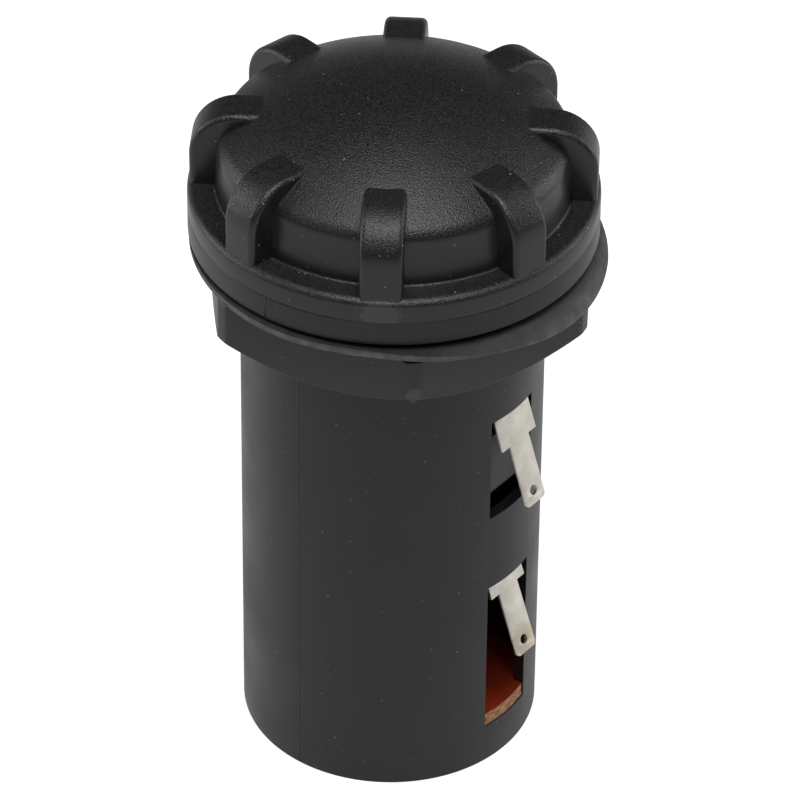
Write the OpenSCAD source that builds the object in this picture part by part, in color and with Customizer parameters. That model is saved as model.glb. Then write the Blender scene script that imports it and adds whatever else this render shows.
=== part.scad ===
// Sealed panel-mount holder for one D cell (IEC R20), with a screw cap.
// The origin is the centre of the flange's underside, the face that seals on the panel.
// +Z points out through the cap, and both solder tags leave through the windows on +X.

/* [Cell] */
// Largest diameter of the cell that slides in
cell_d = 34.2; // [33:0.1:35]
// Radial play between the cell and the bore
cell_play = 0.4; // [0.3:0.05:0.8]

/* [Tube] */
// Wall thickness of the tube
wall_t = 1.5; // [1.4:0.1:2.4]
// Length of the tube below the panel face, to its closed bottom
tube_len = 74.8; // [72:0.2:95]
// Thickness of the closed bottom
floor_t = 2.0; // [1.5:0.1:3.5]
// Height of the seat that carries the insulating disc, above the outside of the bottom
seat_h = 5.8; // [4.5:0.1:8]
// Radial width of that seat
seat_w = 2.2; // [1.5:0.1:4]
// Edge radius of the closed bottom
bottom_edge_r = 0.3; // [0.2:0.1:1.2]

/* [Flange and neck] */
// Diameter of the flange and of the cap's rim
flange_d = 50.6; // [49:0.1:56]
// Thickness of the flange
flange_t = 3.3; // [2.5:0.1:5]
// Outer diameter of the thread that passes through the panel
neck_d = 41.0; // [39.8:0.1:43]
// Length of that thread below the flange
neck_len = 10; // [9:0.1:14]
// Height of the threaded collar that carries the cap, above the flange
collar_h = 7.0; // [6:0.1:8]
// Wall thickness of the collar over its thread crests
collar_t = 2.4; // [2.2:0.1:2.6]

/* [Windows] */
// Width of both windows
window_w = 8.2; // [7.6:0.1:9]
// Height of the lower window above the disc's seat
lower_window_h = 22.9; // [21:0.1:26]
// Distance from the panel face down to the upper window's top edge
upper_window_top = 19.9; // [19:0.1:24]
// Height of the upper window
upper_window_h = 15.0; // [13:0.1:18]
// Height of the slot that the upper tag comes out of
slot_h = 2.4; // [1.8:0.1:3]
// Height of the hole under the ramp
ramp_hole_h = 2.3; // [1.8:0.1:3]

/* [Cap] */
// Height of the cap's rim band
rim_h = 3.1; // [2.8:0.1:4]
// Radius of the rim's upper edge
rim_edge_r = 1.0; // [0.6:0.1:1.6]
// Diameter of the domed crown at its foot
crown_d = 43.9; // [43.6:0.1:45]
// Radius of the fillet between the rim's shelf and the crown's wall
foot_fillet_r = 0.4; // [0.2:0.05:0.5]
// Taper of the crown's wall, in radius from foot to shoulder
crown_draft = 0.3; // [0:0.1:0.5]
// Height of the crown's centre above the flange
crown_h = 17.1; // [16:0.1:19]
// Spherical radius of the crown
crown_r = 36; // [33:0.5:42]
// Radius of the crown's shoulder
shoulder_r = 2.7; // [1.5:0.1:4]
// Wall thickness of the crown
crown_t = 2.3; // [2:0.1:2.8]

/* [Grip lugs] */
// Number of grip lugs
lug_count = 8; // [6:1:10]
// Width of a lug
lug_w = 5.3; // [4:0.1:7]
// Top of the lugs above the flange
lug_top = 13.2; // [12:0.1:14]
// Radius of a lug's outer corner, seen from the side
lug_bend_r = 6.0; // [4:0.1:7]
// How far a lug's outer face stands inside the rim
lug_inset = 0.4; // [0.2:0.05:1]
// Edge radius of a lug
lug_edge_r = 0.55; // [0.3:0.05:0.9]
// Angle of the first lug from the windows
lug_turn = 33.7; // [0:0.1:45]

/* [Panel nut and gaskets] */
// Width across flats of the panel nut
nut_af = 45.3; // [44:0.1:50]
// Width over the nut's blunted corners
nut_corner_d = 51.3; // [50:0.1:56]
// Height of the nut
nut_h = 8.7; // [6:0.1:10]
// Drop of the nut's top below the panel face
nut_drop = 1.5; // [1.5:0.1:2.5]
// Turn of the nut's first corner from the windows
nut_turn = 12.1; // [0:0.1:60]
// Thickness of the panel gasket
gasket_t = 1.0; // [0.6:0.1:1.4]
// Outer diameter of the panel gasket
gasket_d = 51.6; // [50:0.1:58]
// Section diameter of the cap's O-ring
seal_d = 1.7; // [1.4:0.1:1.9]

/* [Contacts] */
// Thickness of the plated strip
strip_t = 0.4; // [0.3:0.05:0.45]
// Width of the strip inside the tube
strip_w = 3.6; // [3:0.1:3.8]
// Width of the solder tags
tag_w = 3.75; // [3:0.05:4.2]
// Length of the upper tag below its shoulders
upper_tag_len = 8.9; // [7:0.1:11]
// Length of the lower tag below its shoulders
lower_tag_len = 9.4; // [7:0.1:11]
// Width of the shoulders over the tags
head_w = 6.8; // [6:0.1:7.2]
// Radius of the wire hole in each tag
eye_r = 0.65; // [0.5:0.05:0.8]
// Outward lean of the upper tag
upper_tag_lean = 18.9; // [10:0.1:30]
// Outward lean of the lower tag
lower_tag_lean = 20.2; // [10:0.1:30]
// Thickness of the insulating disc
disc_t = 1.9; // [1.5:0.1:2.4]
// Wire diameter of the contact spring
wire_d = 1.1; // [0.8:0.1:1.4]
// Outer diameter of the contact spring
spring_d = 20.5; // [16:0.5:24]
// Turns of the contact spring
spring_turns = 6.5; // [5:0.5:8]

/* [Clearances] */
// Play between pieces that slide or turn
play = 0.1; // [0.08:0.01:0.15]
// Gap left where the seals would be squeezed
squeeze_gap = 0.05; // [0.02:0.01:0.1]

/* [Hidden] */
$fn = 96;
// How far a cut runs past the face that it opens.
past = 1;
bore_r = cell_d / 2 + cell_play;
tube_r = bore_r + wall_t;
flange_r = flange_d / 2;
neck_r = neck_d / 2;
collar_r = bore_r + collar_t;
collar_top = flange_t + collar_h;

tube_bottom = -tube_len;
disc_z = tube_bottom + seat_h;
disc_top = disc_z + disc_t;
lower_top = disc_z + lower_window_h;
upper_top = -upper_window_top;
upper_sill = upper_top - upper_window_h;
slot_sill = upper_top - slot_h;
ramp_foot = upper_sill + ramp_hole_h;
jamb_x = sqrt(pow(tube_r, 2) - pow(window_w / 2, 2));

// The strip lies in a flat groove cut in the bore's wall.
groove_w = strip_w + 0.8;
groove_x = bore_r + strip_t + 0.1;
strip_x = groove_x - strip_t - 0.05;
fold_r = 0.1;
shoulder_len_up = 4.1;
shoulder_len_low = 1.9;
tag_corner_r = 0.6;
eye_edge = 1.7;
upper_fold_x = strip_x + 2 * strip_t + fold_r + 0.1;
lower_fold_x = jamb_x - 0.45;
plate_z = lower_top - play - strip_t;
plate_r = bore_r - 0.6;

cap_seat = flange_t;
shelf_z = cap_seat + rim_h;
crown_foot_r = crown_d / 2;
crown_wall_r = crown_foot_r - crown_draft;
crown_c = cap_seat + crown_h - crown_r;
shoulder_x = crown_wall_r - shoulder_r;
shoulder_z = crown_c + sqrt(pow(crown_r - shoulder_r, 2) - pow(shoulder_x, 2));
cap_bore_r = collar_r + play;
seal_r = collar_r + squeeze_gap + seal_d / 2;
seal_pocket_r = seal_r + seal_d / 2 + squeeze_gap;
seal_pocket_z = cap_seat + seal_d + squeeze_gap;
lug_r = flange_r - lug_inset;
lug_z = cap_seat + lug_top;

contact_z = collar_top + strip_t + squeeze_gap;
contact_r = collar_r - 1.2;
boss_r = 4;
rivet_r = 1.5;
rivet_head_r = 3;
rivet_head_t = 0.7;
rivet_len = 4;

nut_top = -nut_drop;
nut_r = nut_af / 2;
nut_slope = 0.68;
gasket_shift = 1.0;
gasket_turn = -13;
gasket_bore_r = neck_r + gasket_shift + 0.2;

// ---- shapes used more than once ----

// A rectangle with its two +X corners rounded, from x = 0 to x = length.
module soft_end_bar(length, width, r) {
    translate([0, -width / 2])
        square([length - r, width]);
    translate([0, -width / 2 + r])
        square([length, width - 2 * r]);
    for (side = [-1, 1])
        translate([length - r, side * (width / 2 - r)])
            circle(r = r, $fn = 48);
}

// A sector of a flat ring, from the X axis round by an angle, for sheet-metal folds.
module fold_section(r_in, t, angle) {
    reach = 4 * (r_in + t);
    intersection() {
        difference() {
            circle(r = r_in + t, $fn = 48);
            circle(r = r_in, $fn = 48);
        }
        polygon([[0, 0], [reach, 0], [reach * cos(angle / 2), reach * sin(angle / 2)],
                 [reach * cos(angle), reach * sin(angle)]]);
    }
}

// Extrudes a section drawn in X and Z along Y, centred on Y = 0.
module along_y(width) {
    translate([0, width / 2, 0])
        rotate([90, 0, 0])
            linear_extrude(width)
                children();
}

// The narrow end of a solder tag, hanging from Z = 0 with its outer face at X = 0.
module tag_end(tag_len, overlap) {
    rotate([0, -90, 0])
        linear_extrude(strip_t)
            difference() {
                translate([overlap, 0])
                    mirror([1, 0, 0])
                        soft_end_bar(tag_len + overlap, tag_w, tag_corner_r);
                translate([-tag_len + eye_edge, 0])
                    circle(r = eye_r, $fn = 48);
            }
}

// A tag with its shoulders and the fold that turns it down from a level strip.
// The strip arrives from -X with its top at Z = 0, and the fold's outer face is at X = 0.
module folded_tag(shoulder_len, tag_len, lean) {
    turn = 90 - lean;
    translate([-fold_r - strip_t, 0, -fold_r - strip_t]) {
        along_y(head_w) {
            rotate(90 - turn)
                fold_section(fold_r, strip_t, turn);
            rotate(90 - turn)
                translate([fold_r, -shoulder_len])
                    square([strip_t, shoulder_len]);
        }
        rotate([0, turn - 90, 0])
            translate([fold_r + strip_t, 0, -shoulder_len])
                tag_end(tag_len, shoulder_len / 2);
    }
}

// ---- body ----

// Outside of the tube, the threaded neck, the flange and the collar, as one turned section.
module body_outside() {
    neck_lead = 0.8;
    flange_edge = 0.2;
    collar_lead = 0.5;
    rotate_extrude()
        union() {
            translate([0, tube_bottom + bottom_edge_r])
                square([tube_r, tube_len - bottom_edge_r]);
            translate([0, tube_bottom])
                square([tube_r - bottom_edge_r, tube_len]);
            translate([tube_r - bottom_edge_r, tube_bottom + bottom_edge_r])
                circle(r = bottom_edge_r, $fn = 48);
            polygon([[0, -neck_len], [neck_r - neck_lead, -neck_len], [neck_r, -neck_len + neck_lead],
                     [neck_r, flange_t / 2], [0, flange_t / 2]]);
            polygon([[0, 0], [flange_r - flange_edge, 0], [flange_r, flange_edge],
                     [flange_r, flange_t], [0, flange_t]]);
            polygon([[0, 0], [collar_r, 0], [collar_r, collar_top - collar_lead],
                     [collar_r - collar_lead, collar_top], [0, collar_top]]);
        }
}

// The web below the upper tag: it leans in from the surface and rounds off above the sill.
module window_ramp() {
    bend_r = 1.2;
    inset = 0.25;
    fall_back = 0.45;
    inner_x = bore_r - past;
    top_x = jamb_x - inset;
    foot_x = top_x - fall_back;
    along_y(window_w + 2 * play) {
        polygon([[inner_x, slot_sill], [top_x, slot_sill], [foot_x, ramp_foot + bend_r],
                 [inner_x, ramp_foot + bend_r]]);
        translate([inner_x, ramp_foot])
            square([foot_x - bend_r - inner_x, bend_r * 1.5]);
        translate([foot_x - bend_r, ramp_foot + bend_r])
            circle(r = bend_r, $fn = 48);
    }
}

module body() {
    color([0.09, 0.09, 0.095])
        difference() {
            union() {
                difference() {
                    body_outside();
                    translate([bore_r - past, -window_w / 2, disc_z])
                        cube([wall_t + 2 * past, window_w, lower_window_h]);
                    translate([bore_r - past, -window_w / 2, upper_sill])
                        cube([wall_t + 2 * past, window_w, upper_window_h]);
                }
                window_ramp();
            }
            translate([0, 0, disc_z])
                cylinder(r = bore_r, h = tube_len + collar_top);
            translate([0, 0, tube_bottom + floor_t])
                cylinder(r = bore_r - seat_w, h = seat_h);
            translate([0, -groove_w / 2, slot_sill])
                cube([groove_x, groove_w, tube_len]);
        }
}

// ---- inside the tube ----

module insulating_disc() {
    key_w = window_w - 2 * play;
    key_inset = 0.15;
    color([0.42, 0.15, 0.06])
        translate([0, 0, disc_z]) {
            cylinder(r = bore_r - play, h = disc_t);
            intersection() {
                cylinder(r = tube_r - key_inset, h = disc_t);
                translate([0, -key_w / 2, 0])
                    cube([tube_r, key_w, disc_t]);
            }
        }
}

// A compression spring with one closed turn at each end, swept as a ring of short segments.
module contact_spring() {
    sides = 10;
    per_turn = 20;
    seat_gap = 0.01;
    r = (spring_d - wire_d) / 2;
    z0 = disc_top + wire_d / 2 + seat_gap;
    z1 = plate_z - wire_d / 2 - seat_gap;
    rings = round(spring_turns * per_turn);
    open_turns = spring_turns - 2;
    rise = z1 - z0 - 2 * wire_d;
    function height(turn) = turn < 1 ? wire_d * turn
        : turn > spring_turns - 1 ? wire_d + rise + wire_d * (turn - spring_turns + 1)
        : wire_d + rise * (turn - 1) / open_turns;
    function ring_point(i, k) = let (turn = i / per_turn, a = 360 * turn, b = 360 * k / sides)
        [(r + wire_d / 2 * cos(b)) * cos(a), (r + wire_d / 2 * cos(b)) * sin(a),
         z0 + height(turn) + wire_d / 2 * sin(b)];
    points = [for (i = [0 : rings], k = [0 : sides - 1]) ring_point(i, k)];
    side_faces = [for (i = [0 : rings - 1], k = [0 : sides - 1])
        let (n = (k + 1) % sides, a = i * sides, b = a + sides) [a + k, b + k, b + n, a + n]];
    ends = [[for (k = [0 : sides - 1]) k], [for (k = [sides - 1 : -1 : 0]) rings * sides + k]];
    color([0.72, 0.71, 0.68])
        polyhedron(points, concat(side_faces, ends), convexity = 8);
}

// The pressed plate that the spring lifts against the window's top, and its solder tag.
module lower_terminal() {
    top = plate_z + strip_t;
    color([0.86, 0.84, 0.78])
        union() {
            translate([0, 0, plate_z])
                cylinder(r = plate_r, h = strip_t);
            translate([0, -head_w / 2, plate_z])
                cube([lower_fold_x - fold_r - strip_t, head_w, strip_t]);
            translate([lower_fold_x, 0, top])
                folded_tag(shoulder_len_low, lower_tag_len, lower_tag_lean);
        }
}

// The strip that runs from the collar's rim down its groove, and out through the slot.
module upper_terminal() {
    top = upper_top - play;
    rim_reach = collar_r - 0.7;
    color([0.86, 0.84, 0.78])
        union() {
            translate([strip_x, -head_w / 2, top - strip_t])
                cube([upper_fold_x - fold_r - strip_t - strip_x, head_w, strip_t]);
            translate([strip_x, -strip_w / 2, top - strip_t])
                cube([strip_t, strip_w, collar_top + strip_t - top + strip_t]);
            translate([strip_x, -strip_w / 2, collar_top])
                cube([rim_reach - strip_x, strip_w, strip_t]);
            translate([upper_fold_x, 0, top])
                folded_tag(shoulder_len_up, upper_tag_len, upper_tag_lean);
        }
}

// ---- cap ----

// The crown's solid section: a filleted foot, a drafted wall, a round shoulder and a spherical top.
module crown_section() {
    // The sphere's sector ends on the ray through the shoulder's centre, drawn out past the crown.
    past = (crown_r + shoulder_r) / (crown_r - shoulder_r);
    polygon([[0, cap_seat], [crown_foot_r, cap_seat], [crown_foot_r, shelf_z],
             [crown_wall_r, shoulder_z], [0, shoulder_z]]);
    difference() {
        translate([crown_foot_r - foot_fillet_r, shelf_z - foot_fillet_r])
            square(2 * foot_fillet_r);
        translate([crown_foot_r + foot_fillet_r, shelf_z + foot_fillet_r])
            circle(r = foot_fillet_r, $fn = 48);
    }
    translate([shoulder_x, shoulder_z])
        circle(r = shoulder_r, $fn = 96);
    intersection() {
        translate([0, crown_c])
            circle(r = crown_r, $fn = 240);
        polygon([[0, shoulder_z], [shoulder_x, shoulder_z],
                 [shoulder_x * past, crown_c + (shoulder_z - crown_c) * past],
                 [0, crown_c + crown_r + shoulder_r]]);
    }
}

module rim_section() {
    square_top = shelf_z - rim_edge_r;
    translate([0, cap_seat])
        square([flange_r, square_top - cap_seat]);
    translate([0, cap_seat])
        square([flange_r - rim_edge_r, rim_h]);
    translate([flange_r - rim_edge_r, square_top])
        circle(r = rim_edge_r, $fn = 64);
}

// One hooked grip lug: a level bar out of the crown, a drum-shaped corner and an upright bar.
// Its section keeps the same soft edges all the way round.
module grip_lug() {
    bend_x = lug_r - lug_bend_r;
    bend_z = lug_z - lug_bend_r;
    root_x = 12;
    foot_z = shelf_z - rim_h / 2;
    translate([root_x, 0, bend_z])
        rotate([0, -90, 180])
            linear_extrude(bend_x - root_x)
                soft_end_bar(lug_bend_r, lug_w, lug_edge_r);
    translate([bend_x, 0, bend_z])
        rotate([90, 0, 0])
            rotate_extrude()
                soft_end_bar(lug_bend_r, lug_w, lug_edge_r);
    translate([bend_x, 0, foot_z])
        linear_extrude(bend_z - foot_z)
            soft_end_bar(lug_bend_r, lug_w, lug_edge_r);
}

// The cap's inside: seal pocket, threaded bore, contact space and the hollow of the crown.
module cap_inside() {
    thread_top = contact_z + strip_t + 0.1;
    hollow_r = cap_bore_r - 0.6;
    difference() {
        rotate_extrude() {
            translate([0, cap_seat - past])
                square([cap_bore_r, thread_top - cap_seat + past]);
            translate([0, cap_seat - past])
                square([seal_pocket_r, seal_pocket_z - cap_seat + past]);
            intersection() {
                translate([0, crown_c])
                    circle(r = crown_r - crown_t, $fn = 240);
                translate([0, cap_seat])
                    square([hollow_r, crown_h]);
            }
        }
        translate([0, 0, contact_z + strip_t])
            cylinder(r = boss_r, h = crown_h, $fn = 64);
    }
}

module cap() {
    color([0.10, 0.10, 0.105])
        difference() {
            union() {
                rotate_extrude() {
                    rim_section();
                    crown_section();
                }
                for (i = [0 : lug_count - 1])
                    rotate(lug_turn + i * 360 / lug_count)
                        grip_lug();
            }
            cap_inside();
            translate([0, 0, contact_z])
                cylinder(r = rivet_r, h = strip_t + rivet_len, $fn = 48);
        }
}

// The round contact in the cap: it bridges the strip's end and the cell's positive pole.
module cap_contact() {
    color([0.86, 0.84, 0.78])
        translate([0, 0, contact_z])
            difference() {
                cylinder(r = contact_r, h = strip_t);
                translate([0, 0, -past])
                    cylinder(r = rivet_r + play, h = strip_t + 2 * past, $fn = 48);
            }
}

module cap_rivet() {
    head_z = contact_z - squeeze_gap - rivet_head_t;
    tip_z = contact_z + strip_t + rivet_len - 3 * play;
    color([0.80, 0.78, 0.72])
        translate([0, 0, head_z]) {
            cylinder(r = rivet_head_r, h = rivet_head_t, $fn = 64);
            cylinder(r = rivet_r, h = tip_z - head_z, $fn = 48);
        }
}

module cap_seal() {
    seat_gap = 0.01;
    color([0.06, 0.06, 0.06])
        translate([0, 0, cap_seat + seal_d / 2 + seat_gap])
            rotate_extrude()
                translate([seal_r, 0])
                    circle(r = seal_d / 2, $fn = 32);
}

// ---- panel fixing ----

// The soft washer lies loose on the nut, a little off centre.
module panel_gasket() {
    color([0.13, 0.13, 0.13])
        rotate(gasket_turn)
            translate([gasket_shift, 0, nut_top])
                difference() {
                    cylinder(r = gasket_d / 2, h = gasket_t);
                    translate([0, 0, -past])
                        cylinder(r = gasket_bore_r, h = gasket_t + 2 * past);
                }
}

// A hexagon with blunted corners and a conical chamfer on its lower face.
module panel_nut() {
    corner_r = nut_corner_d / 2;
    cone_foot_r = nut_r - 0.65;
    top_lead = 0.7;
    color([0.10, 0.10, 0.105])
        translate([0, 0, nut_top - nut_h])
            difference() {
                intersection() {
                    rotate(nut_turn)
                        cylinder(r = nut_r / cos(30), h = nut_h, $fn = 6);
                    rotate_extrude()
                        polygon([[0, 0], [cone_foot_r, 0],
                                 [corner_r, nut_slope * (corner_r - cone_foot_r)],
                                 [corner_r, nut_h - top_lead],
                                 [corner_r - top_lead / nut_slope, nut_h], [0, nut_h]]);
                }
                translate([0, 0, -past])
                    cylinder(r = neck_r + play, h = nut_h + 2 * past);
            }
}

body();
insulating_disc();
contact_spring();
lower_terminal();
upper_terminal();
cap();
cap_contact();
cap_rivet();
cap_seal();
panel_gasket();
panel_nut();
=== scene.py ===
"""Looks of a sealed panel-mount cell holder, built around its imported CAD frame."""

import math
import random

import bmesh
import bpy
from bpy.props import (
    FloatProperty,
    FloatVectorProperty,
    IntProperty,
    PointerProperty,
)
from mathutils import Matrix, Vector


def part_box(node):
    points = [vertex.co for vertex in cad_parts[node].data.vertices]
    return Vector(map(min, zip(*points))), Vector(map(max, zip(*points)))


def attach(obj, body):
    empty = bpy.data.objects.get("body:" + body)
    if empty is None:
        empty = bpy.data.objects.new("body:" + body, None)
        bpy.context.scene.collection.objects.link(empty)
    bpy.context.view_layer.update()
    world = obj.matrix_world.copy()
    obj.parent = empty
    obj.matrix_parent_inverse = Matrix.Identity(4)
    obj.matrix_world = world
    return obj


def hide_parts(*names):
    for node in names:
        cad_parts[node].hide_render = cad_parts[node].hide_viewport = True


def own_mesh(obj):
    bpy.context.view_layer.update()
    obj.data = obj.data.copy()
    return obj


bl_info = {
    "name": "Cell Holder",
    "version": (1, 0, 0),
    "blender": (4, 5, 0),
    "location": "3D Viewport > Sidebar > Cell Holder",
    "description": "Builds a panel-mount cell holder, its screw cap, panel nut, gasket and tags",
    "category": "Add Mesh",
}

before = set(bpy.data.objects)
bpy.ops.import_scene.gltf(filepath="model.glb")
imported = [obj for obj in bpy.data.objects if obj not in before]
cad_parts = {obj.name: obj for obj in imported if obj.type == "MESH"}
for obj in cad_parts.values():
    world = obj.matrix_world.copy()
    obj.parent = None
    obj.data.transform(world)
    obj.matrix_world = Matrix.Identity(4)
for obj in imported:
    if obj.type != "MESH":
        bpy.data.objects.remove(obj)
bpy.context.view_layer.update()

MM = 0.001
TURN = 2 * math.pi
UP = Vector((0, 0, 1))
SMOOTH_ANGLE = math.radians(24)
BEVEL_ANGLE = math.radians(35)
SLIVER = 0.0001 * MM

# The screw threads: rows in a turn, widths of root and crest as shares of the pitch, and the
# turns over which each end runs out.
THREAD_STEPS = 96
THREAD_ROOT = 0.62
THREAD_CREST = 0.22
THREAD_RUN_OUT = 0.3

# The colour of dust on black moulding, and where the lamps point and how far off they stand.
PLASTIC_DUST = (0.35, 0.35, 0.34)
LAMP_AIM = Vector((0, 0, -20 * MM))
LAMP_DISTANCE = 0.9

# ---------------------------------------------------------------------------
# Places taken from the frame
# ---------------------------------------------------------------------------

BODY_LOW, BODY_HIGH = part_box("body")
CAP_LOW, CAP_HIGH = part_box("cap")
NUT_LOW, NUT_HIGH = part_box("panel_nut")
GASKET_LOW, GASKET_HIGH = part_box("panel_gasket")
DISC_LOW, DISC_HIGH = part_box("insulating_disc")
UPPER_LOW, UPPER_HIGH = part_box("upper_terminal")
LOWER_LOW, LOWER_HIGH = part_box("lower_terminal")
SPRING_LOW, SPRING_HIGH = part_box("contact_spring")
SEAL_LOW, SEAL_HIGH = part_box("cap_seal")
CONTACT_LOW, CONTACT_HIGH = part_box("cap_contact")
RIVET_LOW, RIVET_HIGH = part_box("cap_rivet")

TUBE_BOTTOM = BODY_LOW.z
FLANGE_RADIUS = BODY_HIGH.x
FLANGE_TOP = CAP_LOW.z
COLLAR_TOP = BODY_HIGH.z
CROWN_TOP = CAP_HIGH.z
DISC_SEAT = DISC_LOW.z
GASKET_CENTRE = (GASKET_LOW + GASKET_HIGH) / 2

RIVET_SHANK = 1.5 * MM

# Angles from the windows, in degrees, of the lug and the nut's corner that carry gate marks.
FRONT_LUG = -56.3
NUT_GATE = -47.1

# Near the wire hole in the lower tag, where the plating has tarnished.
LOWER_EYE = Vector((LOWER_HIGH.x - 0.6 * MM, 0, LOWER_LOW.z + 1.7 * MM))

# How far the washer's rim hangs below its flat part, every 30 degrees round from the windows.
RIM_HANG = [2.25 * MM, 2.2 * MM, 1.75 * MM, 0.7 * MM, 0.1 * MM, 0.08 * MM,
            0.08 * MM, 0.05 * MM, 0.0, -0.1 * MM, -0.5 * MM, 0.63 * MM]


# ---------------------------------------------------------------------------
# Settings
# ---------------------------------------------------------------------------

def length(label, default, description):
    """A size in metres that a user may change."""
    return FloatProperty(
        name=label, description=description, default=default, unit="LENGTH", precision=5
    )


def angle(label, degrees, description):
    """An angle that a user may change; its default is in degrees."""
    return FloatProperty(
        name=label, description=description, default=math.radians(degrees), unit="ROTATION"
    )


def colour(label, default, description):
    """A colour that a user may change."""
    return FloatVectorProperty(
        name=label, description=description, default=default, size=3, subtype="COLOR",
        min=0.0, max=1.0,
    )


class CellHolderTube(bpy.types.PropertyGroup):
    radius: length("Tube Radius", 19.0 * MM, "Outside radius of the tube")
    bore: length("Bore Radius", 17.5 * MM, "Radius of the bore that takes the cell")
    floor: length("Floor", 2.0 * MM, "Thickness of the closed bottom")
    seat: length("Seat Width", 2.2 * MM, "Radial width of the disc's seat")
    edge: length("Bottom Edge", 0.3 * MM, "Radius of the bottom's outer edge")
    neck: length("Neck Radius", 20.5 * MM, "Radius over the panel thread's crests")
    neck_length: length("Neck Length", 10.0 * MM, "Length of the panel thread")
    collar: length("Collar Radius", 19.9 * MM, "Radius over the cap thread's crests")
    window: length("Window Width", 8.2 * MM, "Width of both windows")
    lower_top: length("Lower Window Top", -46.1 * MM, "Height of the lower window's top edge")
    upper_top: length("Upper Window Top", -19.9 * MM, "Height of the upper window's top edge")
    upper_sill: length("Upper Window Sill", -34.9 * MM, "Height of the upper window's sill")
    slot: length("Slot Height", 2.4 * MM, "Height of the slot for the upper tag")
    ramp_hole: length("Ramp Hole Height", 2.3 * MM, "Height of the hole under the ramp")
    groove: length("Groove Width", 4.4 * MM, "Width of the strip's groove in the bore")


class CellHolderCap(bpy.types.PropertyGroup):
    rim_height: length("Rim Height", 3.1 * MM, "Height of the rim band")
    rim_edge: length("Rim Edge", 1.0 * MM, "Radius of the rim's upper edge")
    crown_foot: length("Crown Foot", 21.95 * MM, "Radius of the crown at the shelf")
    crown_draft: length("Crown Draft", 0.3 * MM, "Taper of the crown's wall")
    crown_radius: length("Crown Sphere", 36.0 * MM, "Spherical radius of the crown")
    shoulder: length("Shoulder", 2.7 * MM, "Radius of the crown's shoulder")
    wall: length("Crown Wall", 2.3 * MM, "Thickness of the crown")
    lugs: IntProperty(name="Lugs", description="Number of grip lugs", default=8, min=3, max=16)
    lug_width: length("Lug Width", 5.3 * MM, "Width of a grip lug")
    lug_top: length("Lug Top", 13.2 * MM, "Top of the lugs above the flange")
    lug_bend: length("Lug Bend", 6.0 * MM, "Radius of a lug's outer corner")
    lug_edge: length("Lug Edge", 0.75 * MM, "Radius of a lug's long edges")
    lug_inset: length("Lug Inset", 0.4 * MM, "How far a lug's face stands inside the rim")
    lug_turn: angle("Lug Turn", 33.7, "Angle of the first lug from the windows")


class CellHolderThreads(bpy.types.PropertyGroup):
    cap_pitch: length("Cap Pitch", 3.5 * MM, "Pitch of the cap's thread")
    nut_pitch: length("Nut Pitch", 2.0 * MM, "Pitch of the panel thread")
    cap_depth: length("Cap Thread Depth", 0.8 * MM, "Depth of the cap's thread")
    nut_depth: length("Panel Thread Depth", 0.7 * MM, "Depth of the panel thread")


class CellHolderFixing(bpy.types.PropertyGroup):
    across_flats: length("Across Flats", 45.3 * MM, "Width of the nut across its flats")
    corners: length("Corner Radius", 25.65 * MM, "Radius of the nut's blunted corners")
    chamfer_foot: length("Chamfer Foot", 22.0 * MM, "Radius where the lower chamfer starts")
    chamfer_slope: FloatProperty(
        name="Chamfer Slope", description="Rise of the nut's chamfer over its width", default=0.68
    )
    top_chamfer: length("Top Chamfer", 0.7 * MM, "Height of the nut's upper chamfer")
    edge: length("Nut Edge", 0.22 * MM, "Radius of the nut's moulded edges")
    nut_turn: angle("Nut Turn", 12.1, "Angle of the nut's first corner from the windows")
    nut_tilt: angle("Nut Tilt", 1.15, "Lean of the loose nut on its thread")
    tilt_turn: angle("Tilt Direction", 24.0, "Angle from the windows of the nut's lowest side")
    nut_aside: length("Nut Aside", 0.25 * MM, "How far the loose nut stands off the axis")
    aside_turn: angle("Aside Direction", 37.1, "Angle from the windows at which it stands so")
    gasket_bore: length("Gasket Bore", 21.7 * MM, "Radius of the gasket's hole")


class CellHolderContacts(bpy.types.PropertyGroup):
    sheet: length("Sheet", 0.4 * MM, "Thickness of the plated strip")
    strip: length("Strip Width", 3.6 * MM, "Width of the strip inside the tube")
    head: length("Head Width", 6.8 * MM, "Width of the shoulders over the tags")
    tag: length("Tag Width", 3.75 * MM, "Width of the solder tags")
    eye: length("Eye Radius", 0.65 * MM, "Radius of the wire hole in each tag")
    eye_edge: length("Eye Edge", 1.7 * MM, "Distance of the eye from the tag's end")
    fold: length("Fold Radius", 0.1 * MM, "Inner radius of the folds")
    upper_head: length("Upper Shoulders", 4.1 * MM, "Length of the upper tag's shoulders")
    upper_tag: length("Upper Tag", 8.9 * MM, "Length of the upper tag below its shoulders")
    upper_lean: angle("Upper Lean", 18.9, "Outward lean of the upper tag")
    lower_head: length("Lower Shoulders", 1.9 * MM, "Length of the lower tag's shoulders")
    lower_tag: length("Lower Tag", 9.4 * MM, "Length of the lower tag below its shoulders")
    lower_lean: angle("Lower Lean", 20.2, "Outward lean of the lower tag")
    wire: length("Wire", 1.1 * MM, "Diameter of the spring's wire")
    turns: FloatProperty(name="Turns", description="Turns of the contact spring", default=6.5)


class CellHolderFinish(bpy.types.PropertyGroup):
    plastic: colour("Plastic", (0.012, 0.012, 0.0125), "Colour of the black moulding")
    crown: colour("Crown", (0.010, 0.010, 0.0108), "Colour of the grained crown")
    rubber: colour("Rubber", (0.028, 0.028, 0.029), "Colour of the sheet rubber")
    plating: colour("Plating", (0.90, 0.86, 0.77), "Colour of the plated strip")
    laminate: colour("Laminate", (0.22, 0.022, 0.005), "Colour of the laminate's faces")
    laminate_core: colour("Laminate Core", (0.66, 0.36, 0.19), "Colour of its punched edge")
    grain: length("Grain", 0.19 * MM, "Size of the crown's grain")


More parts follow.
